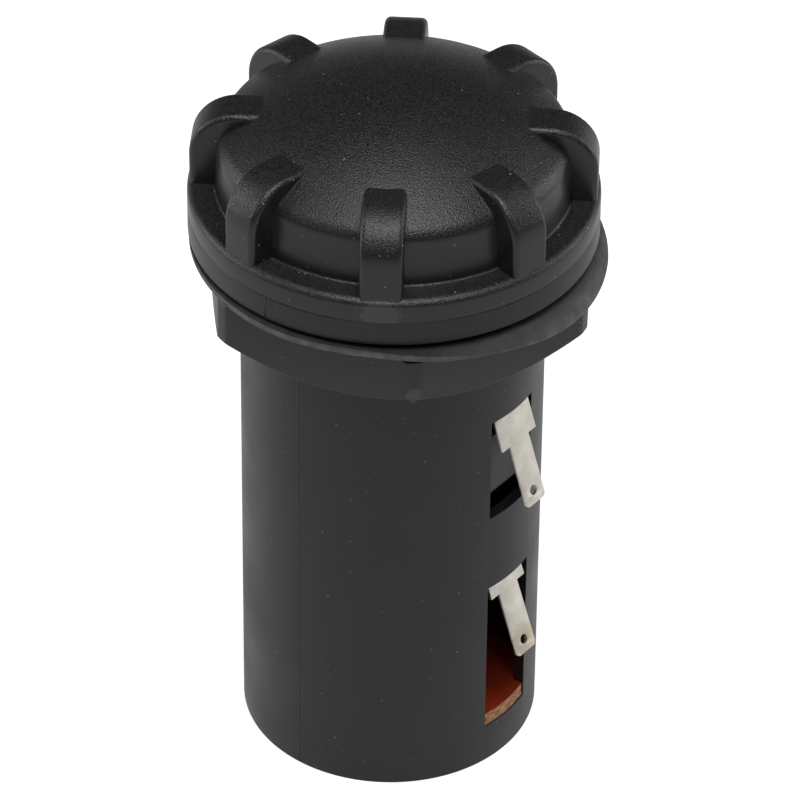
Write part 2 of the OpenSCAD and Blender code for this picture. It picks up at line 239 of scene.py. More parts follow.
class CellHolderStage(bpy.types.PropertyGroup):
    azimuth: angle("Azimuth", 37.1, "Camera's turn from the front")
    elevation: angle("Elevation", 37.43, "Camera's height angle")
    roll: angle("Roll", 0.63, "Camera's roll")
    distance: length("Distance", 690.1 * MM, "Distance from camera to aim")
    aim: length("Aim", -27.44 * MM, "Height of the camera's aim")
    aside: length("Aside", 0.995 * MM, "How far the aim lies right of the axis")
    lens: FloatProperty(name="Lens", description="Focal length in millimetres", default=247.0)


# ---------------------------------------------------------------------------
# Mesh helpers
# ---------------------------------------------------------------------------

def shade(mesh):
    """Smooth shading that breaks at the mesh's edges."""
    mesh.shade_smooth()
    mesh.set_sharp_from_angle(angle=SMOOTH_ANGLE)


def new_piece(name, bm, smooth=True):
    """Makes an object of a bmesh, at the origin, with outward faces."""
    bmesh.ops.remove_doubles(bm, verts=bm.verts, dist=1e-7)
    bmesh.ops.dissolve_degenerate(bm, edges=bm.edges, dist=1e-8)
    bmesh.ops.recalc_face_normals(bm, faces=bm.faces)
    mesh = bpy.data.meshes.new(name)
    bm.to_mesh(mesh)
    bm.free()
    if smooth:
        shade(mesh)
    piece = bpy.data.objects.new(name, mesh)
    bpy.context.scene.collection.objects.link(piece)
    return piece


def turned(name, outline, steps):
    """A piece turned about Z from a closed outline of (radius, height), with poles on the axis."""
    bm = bmesh.new()
    rings = []
    for radius, height in outline:
        if radius < 1e-7:
            rings.append([bm.verts.new((0, 0, height))])
            continue
        rings.append([
            bm.verts.new((radius * math.cos(TURN * i / steps),
                          radius * math.sin(TURN * i / steps), height))
            for i in range(steps)
        ])
    for low, high in zip(rings, rings[1:] + rings[:1]):
        for i in range(steps):
            j = (i + 1) % steps
            corners = list(dict.fromkeys([
                low[i % len(low)], low[j % len(low)], high[j % len(high)], high[i % len(high)],
            ]))
            if len(corners) > 2:
                bm.faces.new(corners)
    return new_piece(name, bm)


def arc(centre, radius, start, end, steps):
    """Points of an arc in the plane of radius and height; angles in radians."""
    return [
        (centre[0] + radius * math.cos(start + (end - start) * i / steps),
         centre[1] + radius * math.sin(start + (end - start) * i / steps))
        for i in range(steps + 1)
    ]


def rounded(corners, steps=6):
    """A closed outline whose corners, each (x, y) or (x, y, radius), are rounded."""
    points = []
    count = len(corners)
    for i, corner in enumerate(corners):
        here = Vector(corner[:2])
        radius = corner[2] if len(corner) > 2 else 0.0
        before = Vector(corners[i - 1][:2]) - here
        after = Vector(corners[(i + 1) % count][:2]) - here
        if radius == 0.0:
            points.append(tuple(here))
            continue
        half = before.angle(after) / 2
        reach = radius / math.tan(half)
        inward = (before.normalized() + after.normalized()).normalized()
        centre = here + inward * (radius / math.sin(half))
        start = here + before.normalized() * reach - centre
        end = here + after.normalized() * reach - centre
        sweep = start.angle_signed(end)
        first = math.atan2(start.y, start.x)
        points += arc(centre, radius, first, first - sweep, steps)
    return points


def prism(name, outline, width):
    """A prism along Y of an outline in X and Z."""
    half_width = width / 2
    bm = bmesh.new()
    near = [bm.verts.new((x, -half_width, z)) for x, z in outline]
    far = [bm.verts.new((x, half_width, z)) for x, z in outline]
    bm.faces.new(near)
    bm.faces.new(reversed(far))
    for i in range(len(outline)):
        j = (i + 1) % len(outline)
        bm.faces.new([near[j], near[i], far[i], far[j]])
    return new_piece(name, bm)


def rectangle(x0, z0, x1, z1):
    return [(x0, z0), (x1, z0), (x1, z1), (x0, z1)]


def skin(bm, sections, around=False):
    """A band of faces from each closed section to the next, and round to the first."""
    for near, far in zip(sections, sections[1:] + (sections[:1] if around else [])):
        for i in range(len(near)):
            j = (i + 1) % len(near)
            if around:
                bm.faces.new([near[i], far[i], far[j], near[j]])
            else:
                bm.faces.new([near[i], near[j], far[j], far[i]])


def clean(piece):
    """Splits faces of many corners and takes out the slivers without area that this leaves."""
    bm = bmesh.new()
    bm.from_mesh(piece.data)
    bmesh.ops.triangulate(bm, faces=[face for face in bm.faces if len(face.verts) > 4])
    bmesh.ops.dissolve_degenerate(bm, dist=SLIVER, edges=bm.edges)
    bmesh.ops.triangulate(bm, faces=[face for face in bm.faces if len(face.verts) > 4])
    bm.to_mesh(piece.data)
    bm.free()
    shade(piece.data)
    return piece


def settle(piece):
    """Replaces a piece's mesh by its evaluated one and takes its modifiers off."""
    graph = bpy.context.evaluated_depsgraph_get()
    mesh = bpy.data.meshes.new_from_object(piece.evaluated_get(graph), depsgraph=graph)
    piece.modifiers.clear()
    piece.data = mesh
    shade(mesh)
    return piece


def carve(piece, cutter):
    """Cuts a closed mesh out of another, and removes the cutter."""
    modifier = piece.modifiers.new("Carve", "BOOLEAN")
    modifier.operation = "DIFFERENCE"
    modifier.solver = "EXACT"
    modifier.object = cutter
    bpy.context.view_layer.update()
    settle(piece)
    bpy.data.objects.remove(cutter)
    return clean(piece)


def soften(piece, width):
    """Rounds a piece's sharp edges by a small width."""
    modifier = piece.modifiers.new("Soften", "BEVEL")
    modifier.width = width
    modifier.segments = 2
    modifier.limit_method = "ANGLE"
    modifier.angle_limit = BEVEL_ANGLE
    modifier.miter_outer = "MITER_ARC"
    modifier.use_clamp_overlap = True
    bpy.context.view_layer.update()
    return clean(settle(piece))


def join(piece, *others):
    """Adds other objects' meshes to a piece, and removes them."""
    bm = bmesh.new()
    bm.from_mesh(piece.data)
    for other in others:
        bm.from_mesh(other.data)
        bpy.data.objects.remove(other)
    bm.to_mesh(piece.data)
    bm.free()
    shade(piece.data)
    return piece


def finish_piece(piece, body, material, slot, *nodes):
    """Gives a piece its material and ties it to the frame."""
    piece.data.materials.clear()
    piece.data.materials.append(material)
    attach(piece, body)
    if nodes:
        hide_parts(*nodes)
    return piece


# ---------------------------------------------------------------------------
# Node trees
# ---------------------------------------------------------------------------

class NodeTree:
    """A node tree that is written as a list of steps."""

    def __init__(self, tree):
        self.tree = tree

    def plug(self, socket, value):
        """Links an output to an input socket, or sets the socket to a plain value."""
        if isinstance(value, bpy.types.NodeSocket):
            self.tree.links.new(value, socket)
        else:
            socket.default_value = value

    def node(self, kind, inputs=None, **settings):
        """Adds a node; an input is a value, another node's output or a list of outputs."""
        node = self.tree.nodes.new(kind)
        for name, value in settings.items():
            setattr(node, name, value)
        for key, value in (inputs or {}).items():
            for item in value if isinstance(value, list) else [value]:
                self.plug(node.inputs[key], item)
        return node

    def add(self, kind, inputs=None, output=0, **settings):
        """Adds a node and gives one of its outputs."""
        return self.node(kind, inputs, **settings).outputs[output]

    def given(self):
        """The inputs that the tree's user sets, by name."""
        return self.node("NodeGroupInput").outputs

    def math(self, operation, first, second=0.0, third=0.0):
        return self.add("ShaderNodeMath", {0: first, 1: second, 2: third}, operation=operation)

    def vectors(self, operation, output, *inputs):
        """Vector arithmetic."""
        return self.add(
            "ShaderNodeVectorMath", dict(enumerate(inputs)), output, operation=operation
        )

    def noise(self, vector, scale, detail, roughness=0.5, output="Fac"):
        return self.add("ShaderNodeTexNoise", {
            "Vector": vector, "Scale": scale, "Detail": detail, "Roughness": roughness,
        }, output)

    def range(self, value, low, high, to_low=0.0, to_high=1.0, course="SMOOTHSTEP"):
        """Turns one pair of limits into another, and holds the value between them."""
        return self.add("ShaderNodeMapRange", {
            "Value": value, "From Min": low, "From Max": high, "To Min": to_low, "To Max": to_high,
        }, interpolation_type=course)

    def stretch(self, vector, scale, rotation=(0.0, 0.0, 0.0)):
        """Turns and scales a pattern's coordinates."""
        return self.add("ShaderNodeMapping", {
            "Vector": vector, "Rotation": rotation, "Scale": scale,
        })

    def end(self, **outputs):
        """Ends a shader group with its outputs."""
        self.node("NodeGroupOutput", {name.title(): value for name, value in outputs.items()})

    def end_mesh(self, geometry, material):
        """Ends a geometry tree in plain geometry with a material."""
        real = self.add("GeometryNodeRealizeInstances", {"Geometry": geometry})
        finished = self.add("GeometryNodeSetMaterial", {"Geometry": real, "Material": material})
        self.node("NodeGroupOutput", {0: finished})


def add_sockets(tree, side, sockets):
    """Adds a tree's inputs or outputs, each (name, type) or (name, type, default)."""
    for label, kind, *default in sockets:
        socket = tree.interface.new_socket(label, in_out=side, socket_type=f"NodeSocket{kind}")
        if default:
            socket.default_value = default[0]


# ---------------------------------------------------------------------------
# Geometry node trees
# ---------------------------------------------------------------------------

def geometry_tree(name, *inputs):
    """A geometry node tree with the given inputs and a material."""
    tree = bpy.data.node_groups.new(name, "GeometryNodeTree")
    add_sockets(tree, "INPUT", [("Geometry", "Geometry"), *inputs, ("Material", "Material")])
    add_sockets(tree, "OUTPUT", [("Geometry", "Geometry")])
    tree.is_modifier = True
    return NodeTree(tree)


def run_tree(piece, tree_name, **values):
    """Runs a geometry node tree on a piece with the given inputs, and keeps the plain mesh."""
    tree = bpy.data.node_groups[tree_name]
    modifier = piece.modifiers.new(tree_name, "NODES")
    modifier.node_group = tree
    for socket in tree.interface.items_tree:
        key = socket.name.lower()
        if socket.in_out == "INPUT" and key in values:
            modifier[socket.identifier] = values.pop(key)
    if values:
        raise ValueError(f"{tree_name} has no input {sorted(values)}")
    piece.update_tag()
    bpy.context.view_layer.update()
    return settle(piece)


def empty_piece(name):
    """A piece without a mesh yet, for a tree that makes it all."""
    piece = bpy.data.objects.new(name, bpy.data.meshes.new(name))
    bpy.context.scene.collection.objects.link(piece)
    return piece


def thread_tree():
    """A helical thread: a trapezoid swept along a spiral, thinning out at both ends."""
    nodes = geometry_tree(
        "Screw Thread", ("Radius", "Float", 0.02), ("Depth", "Float", 0.0007),
        ("Pitch", "Float", 0.002), ("Turns", "Float", 4.0), ("Start", "Float", 0.0),
        ("Phase", "Float", 0.0),
    )
    given = nodes.given()
    radius, pitch, turns = given["Radius"], given["Pitch"], given["Turns"]
    spiral = nodes.add("GeometryNodeCurveSpiral", {
        "Resolution": THREAD_STEPS, "Rotations": turns, "Start Radius": radius,
        "End Radius": radius, "Height": nodes.math("MULTIPLY", pitch, turns),
    })
    path = nodes.add("GeometryNodeSetCurveNormal", {"Curve": spiral}, mode="Z_UP")
    factor = nodes.add("GeometryNodeSplineParameter", output="Factor")
    turned = nodes.math("MULTIPLY", factor, turns)
    nearest_end = nodes.math("MINIMUM", turned, nodes.math("SUBTRACT", turns, turned))
    section = nodes.add("GeometryNodeCurvePrimitiveQuadrilateral", {
        "Height": nodes.math("MULTIPLY", given["Depth"], 2.0),
        "Bottom Width": nodes.math("MULTIPLY", pitch, THREAD_ROOT),
        "Top Width": nodes.math("MULTIPLY", pitch, THREAD_CREST), "Offset": 0.0,
    }, mode="TRAPEZOID")
    outward = nodes.add("GeometryNodeTransform", {
        "Geometry": section, "Rotation": (0.0, 0.0, -math.pi / 2),
    })
    ridge = nodes.add("GeometryNodeCurveToMesh", {
        "Curve": path, "Profile Curve": outward, "Fill Caps": True,
        "Scale": nodes.range(nearest_end, 0.0, THREAD_RUN_OUT, 0.02, 1.0),
    })
    placed = nodes.add("GeometryNodeTransform", {
        "Geometry": ridge,
        "Translation": nodes.add("ShaderNodeCombineXYZ", {"Z": given["Start"]}),
        "Rotation": nodes.add("ShaderNodeCombineXYZ", {"Z": given["Phase"]}),
    })
    nodes.end_mesh(placed, given["Material"])


def crown_tree():
    """Sets grip lugs round the crown, joins them to it and hollows the cap out."""
    nodes = geometry_tree(
        "Lugged Crown", ("Lug", "Object"), ("Hollow", "Object"), ("Count", "Int", 8),
        ("Turn", "Float", 0.0),
    )
    given = nodes.given()
    seats = nodes.add("GeometryNodeMeshLine", {
        "Count": given["Count"], "Start Location": (0.0, 0.0, 0.0), "Offset": (0.0, 0.0, 0.0),
    })
    lug = nodes.add(
        "GeometryNodeObjectInfo", {"Object": given["Lug"], "As Instance": True}, "Geometry"
    )
    index = nodes.add("GeometryNodeInputIndex")
    step = nodes.math("DIVIDE", TURN, given["Count"])
    spin = nodes.math("MULTIPLY_ADD", index, step, given["Turn"])
    ring = nodes.add("GeometryNodeInstanceOnPoints", {
        "Points": seats, "Instance": lug,
        "Rotation": nodes.add("ShaderNodeCombineXYZ", {"Z": spin}),
    })
    lugs = nodes.add("GeometryNodeRealizeInstances", {"Geometry": ring})
    whole = nodes.add("GeometryNodeMeshBoolean", {
        "Mesh 2": [given["Geometry"], lugs],
    }, operation="UNION", solver="EXACT")
    hollow = nodes.add("GeometryNodeObjectInfo", {"Object": given["Hollow"]}, "Geometry")
    shell = nodes.add("GeometryNodeMeshBoolean", {
        "Mesh 1": whole, "Mesh 2": hollow,
    }, operation="DIFFERENCE", solver="EXACT")
    nodes.end_mesh(shell, given["Material"])


def coil_tree():
    """A compression spring with a closed turn at each end."""
    nodes = geometry_tree(
        "Coil Spring", ("Radius", "Float", 0.0097), ("Wire", "Float", 0.0011),
        ("Turns", "Float", 6.5), ("Start", "Float", 0.0), ("Height", "Float", 0.019),
    )
    given = nodes.given()
    radius, wire, turns = given["Radius"], given["Wire"], given["Turns"]
    spiral = nodes.add("GeometryNodeCurveSpiral", {
        "Resolution": 48, "Rotations": turns, "Start Radius": radius, "End Radius": radius,
        "Height": 0.0,
    })
    factor = nodes.add("GeometryNodeSplineParameter", output="Factor")
    turned = nodes.math("MULTIPLY", factor, turns)
    first = nodes.math("MINIMUM", turned, 1.0)
    last = nodes.math("MAXIMUM", nodes.math(
        "SUBTRACT", turned, nodes.math("SUBTRACT", turns, 1.0)
    ))
    closed = nodes.math("MULTIPLY", nodes.math("ADD", first, last), wire)
    open_turns = nodes.math("SUBTRACT", turns, 2.0)
    open_share = nodes.range(
        nodes.math("SUBTRACT", turned, 1.0), 0.0, open_turns, course="LINEAR"
    )
    rise = nodes.math("SUBTRACT", given["Height"], nodes.math("MULTIPLY", wire, 2.0))
    lift = nodes.math("ADD", nodes.math("MULTIPLY_ADD", open_share, rise, closed), given["Start"])
    raised = nodes.add("GeometryNodeSetPosition", {
        "Geometry": spiral, "Offset": nodes.add("ShaderNodeCombineXYZ", {"Z": lift}),
    })
    section = nodes.add("GeometryNodeCurvePrimitiveCircle", {
        "Resolution": 16, "Radius": nodes.math("DIVIDE", wire, 2.0),
    })
    coil = nodes.add("GeometryNodeCurveToMesh", {
        "Curve": raised, "Profile Curve": section, "Fill Caps": True,
    })
    nodes.end_mesh(coil, given["Material"])


def add_thread(name, radius, depth, pitch, low, high, phase=0.0):
    """A thread's helical ridge between two heights; a negative depth points inwards."""
    return run_tree(
        empty_piece(name), "Screw Thread", radius=radius, depth=depth, pitch=pitch,
        turns=(high - low) / pitch, start=low, phase=(phase + TURN * low / pitch) % TURN,
    )


# ---------------------------------------------------------------------------
# Shader node groups
# ---------------------------------------------------------------------------

def shader_group(name, inputs, *outputs):
    """A shader node group that reads coordinates and the given inputs, and puts out numbers."""
    tree = bpy.data.node_groups.new(name, "ShaderNodeTree")
    add_sockets(tree, "INPUT", [("Vector", "Vector"), *inputs])
    add_sockets(tree, "OUTPUT", [(label, "Float") for label in outputs])
    return NodeTree(tree)


def grain_group():
    """Fine spark-eroded grain: a height for bump, and a tone that the cap paints into its colour as
    glints.
    """
    nodes = shader_group("Moulded Grain", [("Size", "Float", 0.0002)], "Height", "Tone")
    given = nodes.given()
    fine_scale = nodes.math("DIVIDE", 1.0, given["Size"])
    coarse_scale = nodes.math("DIVIDE", 0.4, given["Size"])
    fine = nodes.noise(given["Vector"], fine_scale, 2.0, 0.6)
    coarse = nodes.noise(given["Vector"], coarse_scale, 3.0, 0.6)
    pits = nodes.add("ShaderNodeTexVoronoi", {
        "Vector": given["Vector"], "Scale": fine_scale,
    }, "Distance", feature="SMOOTH_F1")
    nodes.end(
        height=nodes.math("MULTIPLY_ADD", pits, 0.6, fine),
        tone=nodes.math("MULTIPLY_ADD", coarse, 0.25, nodes.math("MULTIPLY", fine, 0.75)),
    )


def dust_group():
    """Sparse pale specks with torn outlines, and short hairs."""
    nodes = shader_group("Dust", [("Amount", "Float", 1.0)], "Mask")
    given = nodes.given()
    warp = nodes.noise(given["Vector"], 5000.0, 1.0, output="Color")
    torn = nodes.vectors("MULTIPLY_ADD", "Vector", warp, (0.16 * MM,) * 3, given["Vector"])
    lengthwise = nodes.stretch(given["Vector"], (1.0, 1.0, 0.07), (0.4, 0.9, 0.3))
    specks, hairs = (
        nodes.node("ShaderNodeTexVoronoi", {"Vector": vector, "Scale": scale}).outputs
        for vector, scale in ((torn, 1100.0), (lengthwise, 900.0))
    )
    speck_lot, hair_lot = (
        nodes.node("ShaderNodeSeparateColor", {"Color": cells["Color"]}).outputs
        for cells in (specks, hairs)
    )
    speck = nodes.range(specks["Distance"], 0.13, 0.06, 0.0, speck_lot["Green"], "LINEAR")
    few_specks = nodes.math("GREATER_THAN", speck_lot["Red"], 0.80)
    hair = nodes.math("LESS_THAN", hairs["Distance"], 0.06)
    few_hairs = nodes.math("GREATER_THAN", hair_lot["Green"], 0.978)
    both = nodes.math(
        "MAXIMUM", nodes.math("MULTIPLY", speck, few_specks),
        nodes.math("MULTIPLY", hair, few_hairs),
    )
    nodes.end(mask=nodes.math("MULTIPLY", both, given["Amount"]))


def seam_group():
    """The parting line of the mould: a fine raised line in the plane through the axis at X = 0."""
    nodes = shader_group("Mould Seam", [("Width", "Float", 0.00012)], "Height")
    given = nodes.given()
    across = nodes.add("ShaderNodeSeparateXYZ", {"Vector": given["Vector"]}, "X")
    distance = nodes.math("ABSOLUTE", across)
    nodes.end(height=nodes.range(distance, 0.0, given["Width"], 1.0, 0.0))


def spot_group():
    """A soft, ragged spot round a place, for a gate's blush or a patch of tarnish."""
    nodes = shader_group("Gate Blush", [
        ("Place", "Vector"), ("Radius", "Float", 0.003), ("Ragged", "Float", 0.4),
    ], "Mask")
    given = nodes.given()
    away = nodes.vectors("DISTANCE", "Value", given["Vector"], given["Place"])
    noise = nodes.noise(given["Vector"], 2200.0, 4.0, 0.7)
    torn = nodes.math("MULTIPLY_ADD", nodes.math("SUBTRACT", noise, 0.5), given["Ragged"], 1.0)
    reach = nodes.math("MULTIPLY", given["Radius"], torn)
    nodes.end(mask=nodes.range(nodes.math("DIVIDE", away, reach), 0.6, 1.0, 1.0, 0.0))


def variation_group():
    """Slow changes of tone and gloss over a moulded or rolled face."""
    nodes = shader_group("Slow Variation", [
        ("Scale", "Float", 120.0), ("Low", "Float", 0.4), ("High", "Float", 0.5),
    ], "Value")
    given = nodes.given()
    noise = nodes.noise(given["Vector"], given["Scale"], 3.0)
    nodes.end(value=nodes.range(noise, 0.3, 0.7, given["Low"], given["High"], "LINEAR"))


def build_trees():
    for build in (thread_tree, crown_tree, coil_tree,
                  grain_group, dust_group, seam_group, spot_group, variation_group):
        build()


# ---------------------------------------------------------------------------
# Materials
# ---------------------------------------------------------------------------

class Material(NodeTree):
    """A material with one Principled shader, whose inputs its steps feed."""

    def __init__(self, name, **plain):
        self.material = bpy.data.materials.new(name)
        self.material.use_nodes = True
        super().__init__(self.material.node_tree)
        self.shader = self.tree.nodes["Principled BSDF"]
        self.place = self.add("ShaderNodeTexCoord", output="Object")
        for key, value in plain.items():
            self.feed("IOR" if key == "ior" else key.replace("_", " ").title(), value)

    def feed(self, name, value):
        """Sets or links one of the Principled shader's inputs."""
        self.plug(self.shader.inputs[name], value)

    def group(self, name, **inputs):
        """Places a shader node group with its own values."""
        return self.node("ShaderNodeGroup", {
            "Vector": self.place, **{key.title(): value for key, value in inputs.items()},
        }, node_tree=bpy.data.node_groups[name]).outputs

    def grain(self, size):
        """Height of a moulding's grain."""
        return self.group("Moulded Grain", size=size)["Height"]

    def vary(self, scale, low=0.0, high=1.0):
        """Slow changes between two values."""
        return self.group("Slow Variation", scale=scale, low=low, high=high)["Value"]

    def mix(self, mask, first, second):
        """A colour that goes from first to second with the mask."""
        first, second = (
            value if isinstance(value, bpy.types.NodeSocket) else (*value, 1.0)
            for value in (first, second)
        )
        return self.add("ShaderNodeMix", {0: mask, 6: first, 7: second}, 2, data_type="RGBA")

    def patch(self, base, place, radius, ragged, strength, tint):
        """Tints a colour in a soft spot round a place."""
        spot = self.group("Gate Blush", place=place, radius=radius, ragged=ragged)["Mask"]
        return self.mix(self.math("MULTIPLY", spot, strength), base, tint)

    def dusty(self, base, amount, dust=PLASTIC_DUST):
        """A colour with specks of dust on it."""
        return self.mix(self.group("Dust", amount=amount)["Mask"], base, dust)

    def relief(self, height, distance, **under):
        """Bump of a pattern's height, which may lie over another normal."""
        inputs = {"Height": height, "Distance": distance, "Strength": 1.0}
        return self.add("ShaderNodeBump", {
            **inputs, **{key.title(): value for key, value in under.items()},
        })

    def upward(self):
        """How far the surface faces up, from -1 to 1."""
        normal = self.add("ShaderNodeNewGeometry", output="Normal")
        return self.add("ShaderNodeSeparateXYZ", {"Vector": normal}, "Z")


def scaled(rgb, factor):
    """A colour made darker or brighter."""
    return tuple(min(1.0, c * factor) for c in rgb)


def tube_material(finish):
    """Satin black moulding with a parting line, painted shade along it, and a little dust."""
    m = Material("Black Tube Moulding", ior=1.47)
    base = m.mix(m.vary(240.0), scaled(finish.plastic, 0.92), scaled(finish.plastic, 1.12))
    seam = m.group("Mould Seam", width=0.18 * MM)["Height"]
    # The parting line is also painted darker in the colour: painted shade for the dark side of its
    # raised line.
    seam_painted_shade = m.mix(m.math("MULTIPLY", seam, 0.8), base, (0.001, 0.001, 0.001))
    m.feed("Base Color", m.dusty(seam_painted_shade, 0.9))
    m.feed("Roughness", m.vary(60.0, 0.26, 0.46))
    skin = m.relief(m.grain(0.35 * MM), 0.0022 * MM)
    m.feed("Normal", m.relief(seam, 0.08 * MM, normal=skin))
    return m.material


def cap_material(finish, gate):
    """Black moulding: faces that look up are spark-eroded, with painted glints in their colour;
    upright ones are satin.
    """
    m = Material("Black Cap Moulding", ior=1.52)
    grained = m.range(m.upward(), 0.30, 0.46)
    grain = m.group("Moulded Grain", size=finish.grain)
    painted_glint_mask = m.range(grain["Tone"], 0.36, 0.64)
    # The grain's tone is painted into the colour, from far darker to far lighter than the crown:
    # painted glints of light on the grain.
    grain_painted_glints = m.mix(painted_glint_mask, scaled(finish.crown, 0.15), scaled(finish.crown, 2.8))
    base = m.mix(grained, finish.plastic, grain_painted_glints)
    marked = m.patch(base, gate, 2.9 * MM, 2.0, 0.16, (0.20, 0.20, 0.21))
    m.feed("Base Color", m.dusty(marked, 1.1, (0.38, 0.38, 0.36)))
    m.feed("Roughness", m.math("MULTIPLY_ADD", grained, 0.04, m.vary(70.0, 0.25, 0.33)))
    depth = m.math("MULTIPLY_ADD", grained, 0.94, 0.06)
    m.feed("Normal", m.relief(m.math("MULTIPLY", grain["Height"], depth), 0.066 * MM))
    return m.material


def nut_material(finish, gate):
    """Satin black moulding with a gate's blush."""
    m = Material("Black Nut Moulding", ior=1.5)
    base = m.mix(m.vary(300.0), scaled(finish.plastic, 0.95), scaled(finish.plastic, 1.25))
    marked = m.patch(base, gate, 1.2 * MM, 2.0, 0.20, (0.20, 0.20, 0.205))
    m.feed("Base Color", m.dusty(marked, 0.7))
    m.feed("Roughness", m.vary(90.0, 0.30, 0.42))
    m.feed("Normal", m.relief(m.grain(0.3 * MM), 0.004 * MM))
    return m.material


def rubber_material(finish):
    """Sheet rubber: a dull black face and a paler, ground-looking cut edge."""
    m = Material("Sheet Rubber", ior=1.48)
    cut = m.range(m.math("ABSOLUTE", m.upward()), 0.75, 0.25)
    tone = m.vary(700.0)
    face = m.mix(tone, scaled(finish.rubber, 0.8), scaled(finish.rubber, 1.3))
    edge = m.mix(tone, scaled(finish.rubber, 2.2), scaled(finish.rubber, 4.4))
    m.feed("Base Color", m.mix(cut, face, edge))
    m.feed("Roughness", m.vary(400.0, 0.52, 0.70))
    m.feed("Normal", m.relief(m.grain(0.18 * MM), 0.01 * MM))
    return m.material


def plated_material(finish):
    """Tin-plated brass strip, rolled lengthwise, a little uneven and yellowed."""
    m = Material("Plated Strip", metallic=1.0)
    rolled = m.noise(m.stretch(m.place, (1.0, 1.0, 0.06)), 5200.0, 2.0)
    plain = m.mix(m.vary(420.0), finish.plating, scaled(finish.plating, 0.80))
    m.feed("Base Color", m.patch(plain, LOWER_EYE, 2.6 * MM, 1.6, 0.6, (0.60, 0.50, 0.36)))
    m.feed("Roughness", m.vary(900.0, 0.34, 0.50))
    m.feed("Normal", m.relief(rolled, 0.0022 * MM))
    return m.material


def plain_material(name, first, second, mottle, gloss, **plain):
    """A material that varies between two colours and two values of gloss."""
    m = Material(name, **plain)
    m.feed("Base Color", m.mix(m.vary(mottle), first, second))
    m.feed("Roughness", m.vary(*gloss))
    return m.material


def seal_material(finish):
    return plain_material(
        "Seal Rubber", scaled(finish.rubber, 0.5), scaled(finish.rubber, 0.8), 500.0,
        (300.0, 0.35, 0.5), ior=1.48,
    )


def wire_material():
    return plain_material(
        "Spring Wire", (0.66, 0.64, 0.60), (0.54, 0.53, 0.50), 800.0, (1500.0, 0.22, 0.38),
        metallic=1.0,
    )


def rivet_material():
    return plain_material(
        "Plated Rivet", (0.74, 0.71, 0.64), (0.64, 0.61, 0.55), 700.0, (1200.0, 0.28, 0.42),
        metallic=1.0,
    )


def laminate_material(finish):
    """Paper laminate: dark glossy faces, and a pale punched edge with torn layers."""
    m = Material("Paper Laminate", ior=1.42)
    punched = m.range(m.math("ABSOLUTE", m.upward()), 0.7, 0.3)
    torn = m.noise(m.stretch(m.place, (0.35, 0.35, 2.2)), 2600.0, 5.0, 0.75)
    fibre = m.range(torn, 0.38, 0.66)
    face = m.mix(m.vary(260.0), scaled(finish.laminate, 0.8), scaled(finish.laminate, 1.2))
    edge = m.mix(fibre, scaled(finish.laminate_core, 0.30), scaled(finish.laminate_core, 1.25))
    m.feed("Base Color", m.mix(punched, face, edge))
    m.feed("Roughness", m.math("MULTIPLY_ADD", punched, 0.45, 0.38))
    depth = m.math("MULTIPLY_ADD", punched, 0.95, 0.05)
    m.feed("Normal", m.relief(m.math("MULTIPLY", torn, depth), 0.08 * MM))
    return m.material


def floor_material():
    """Pale floor that shows white to the camera, all the more far off, and keeps the shadow."""
    m = Material(
        "Pale Floor", base_color=(0.62, 0.62, 0.62, 1.0), roughness=0.9,
        emission_color=(1.0, 1.0, 1.0, 1.0),
    )
    path = m.node("ShaderNodeLightPath").outputs
    mirrored = m.math("MULTIPLY", path["Is Glossy Ray"], 0.16)
    glow = m.range(m.vectors("LENGTH", "Value", m.place), 0.15, 0.8, 0.75, 1.0)
    m.feed("Emission Strength", m.math("MULTIPLY_ADD", path["Is Camera Ray"], glow, mirrored))
    return m.material


# ---------------------------------------------------------------------------
# Pieces
# ---------------------------------------------------------------------------

def tube_outline(tube, threads):
    """Section of the tube with its neck, flange and collar, from the axis out and back."""
    neck_core = tube.neck - threads.nut_depth
    collar_core = tube.collar - threads.cap_depth
    return rounded([
        (0, TUBE_BOTTOM),
        (tube.radius, TUBE_BOTTOM, tube.edge),
        (tube.radius, -tube.neck_length),
        (neck_core, -tube.neck_length, 0.2 * MM),
        (neck_core, 0),
        (FLANGE_RADIUS, 0, 0.25 * MM),
        (FLANGE_RADIUS, FLANGE_TOP, 0.12 * MM),
        (collar_core, FLANGE_TOP),
        (collar_core, COLLAR_TOP, 0.3 * MM),
        (tube.bore, COLLAR_TOP, 0.2 * MM),
        (tube.bore, DISC_SEAT),
        (tube.bore - tube.seat, DISC_SEAT),
        (tube.bore - tube.seat, TUBE_BOTTOM + tube.floor, 0.3 * MM),
        (0, TUBE_BOTTOM + tube.floor),
    ])


def window_reach(tube):
    """Radii from inside the bore to outside the tube, over which the windows are cut."""
    return tube.bore - 3.5 * MM, tube.radius + MM


def jamb(tube):
    """How far out the tube's face stands at the windows' sides."""
    return math.sqrt(tube.radius ** 2 - (tube.window / 2) ** 2)


def upper_window_outline(tube):
    """What the upper window takes out of the wall: a slot, the space over the ramp and a hole."""
    inner, outer = window_reach(tube)
    bend = 1.2 * MM
    ramp_top = jamb(tube) - 0.25 * MM
    ramp_foot = ramp_top - 0.45 * MM
    slot_sill = tube.upper_top - tube.slot
    foot = tube.upper_sill + tube.ramp_hole
    return [
        (inner, tube.upper_top), (inner, slot_sill), (ramp_top, slot_sill),
        *reversed(arc((ramp_foot - bend, foot + bend), bend, -math.pi / 2, 0, 10)),
        (inner, foot), (inner, tube.upper_sill), (outer, tube.upper_sill), (outer, tube.upper_top),
    ]


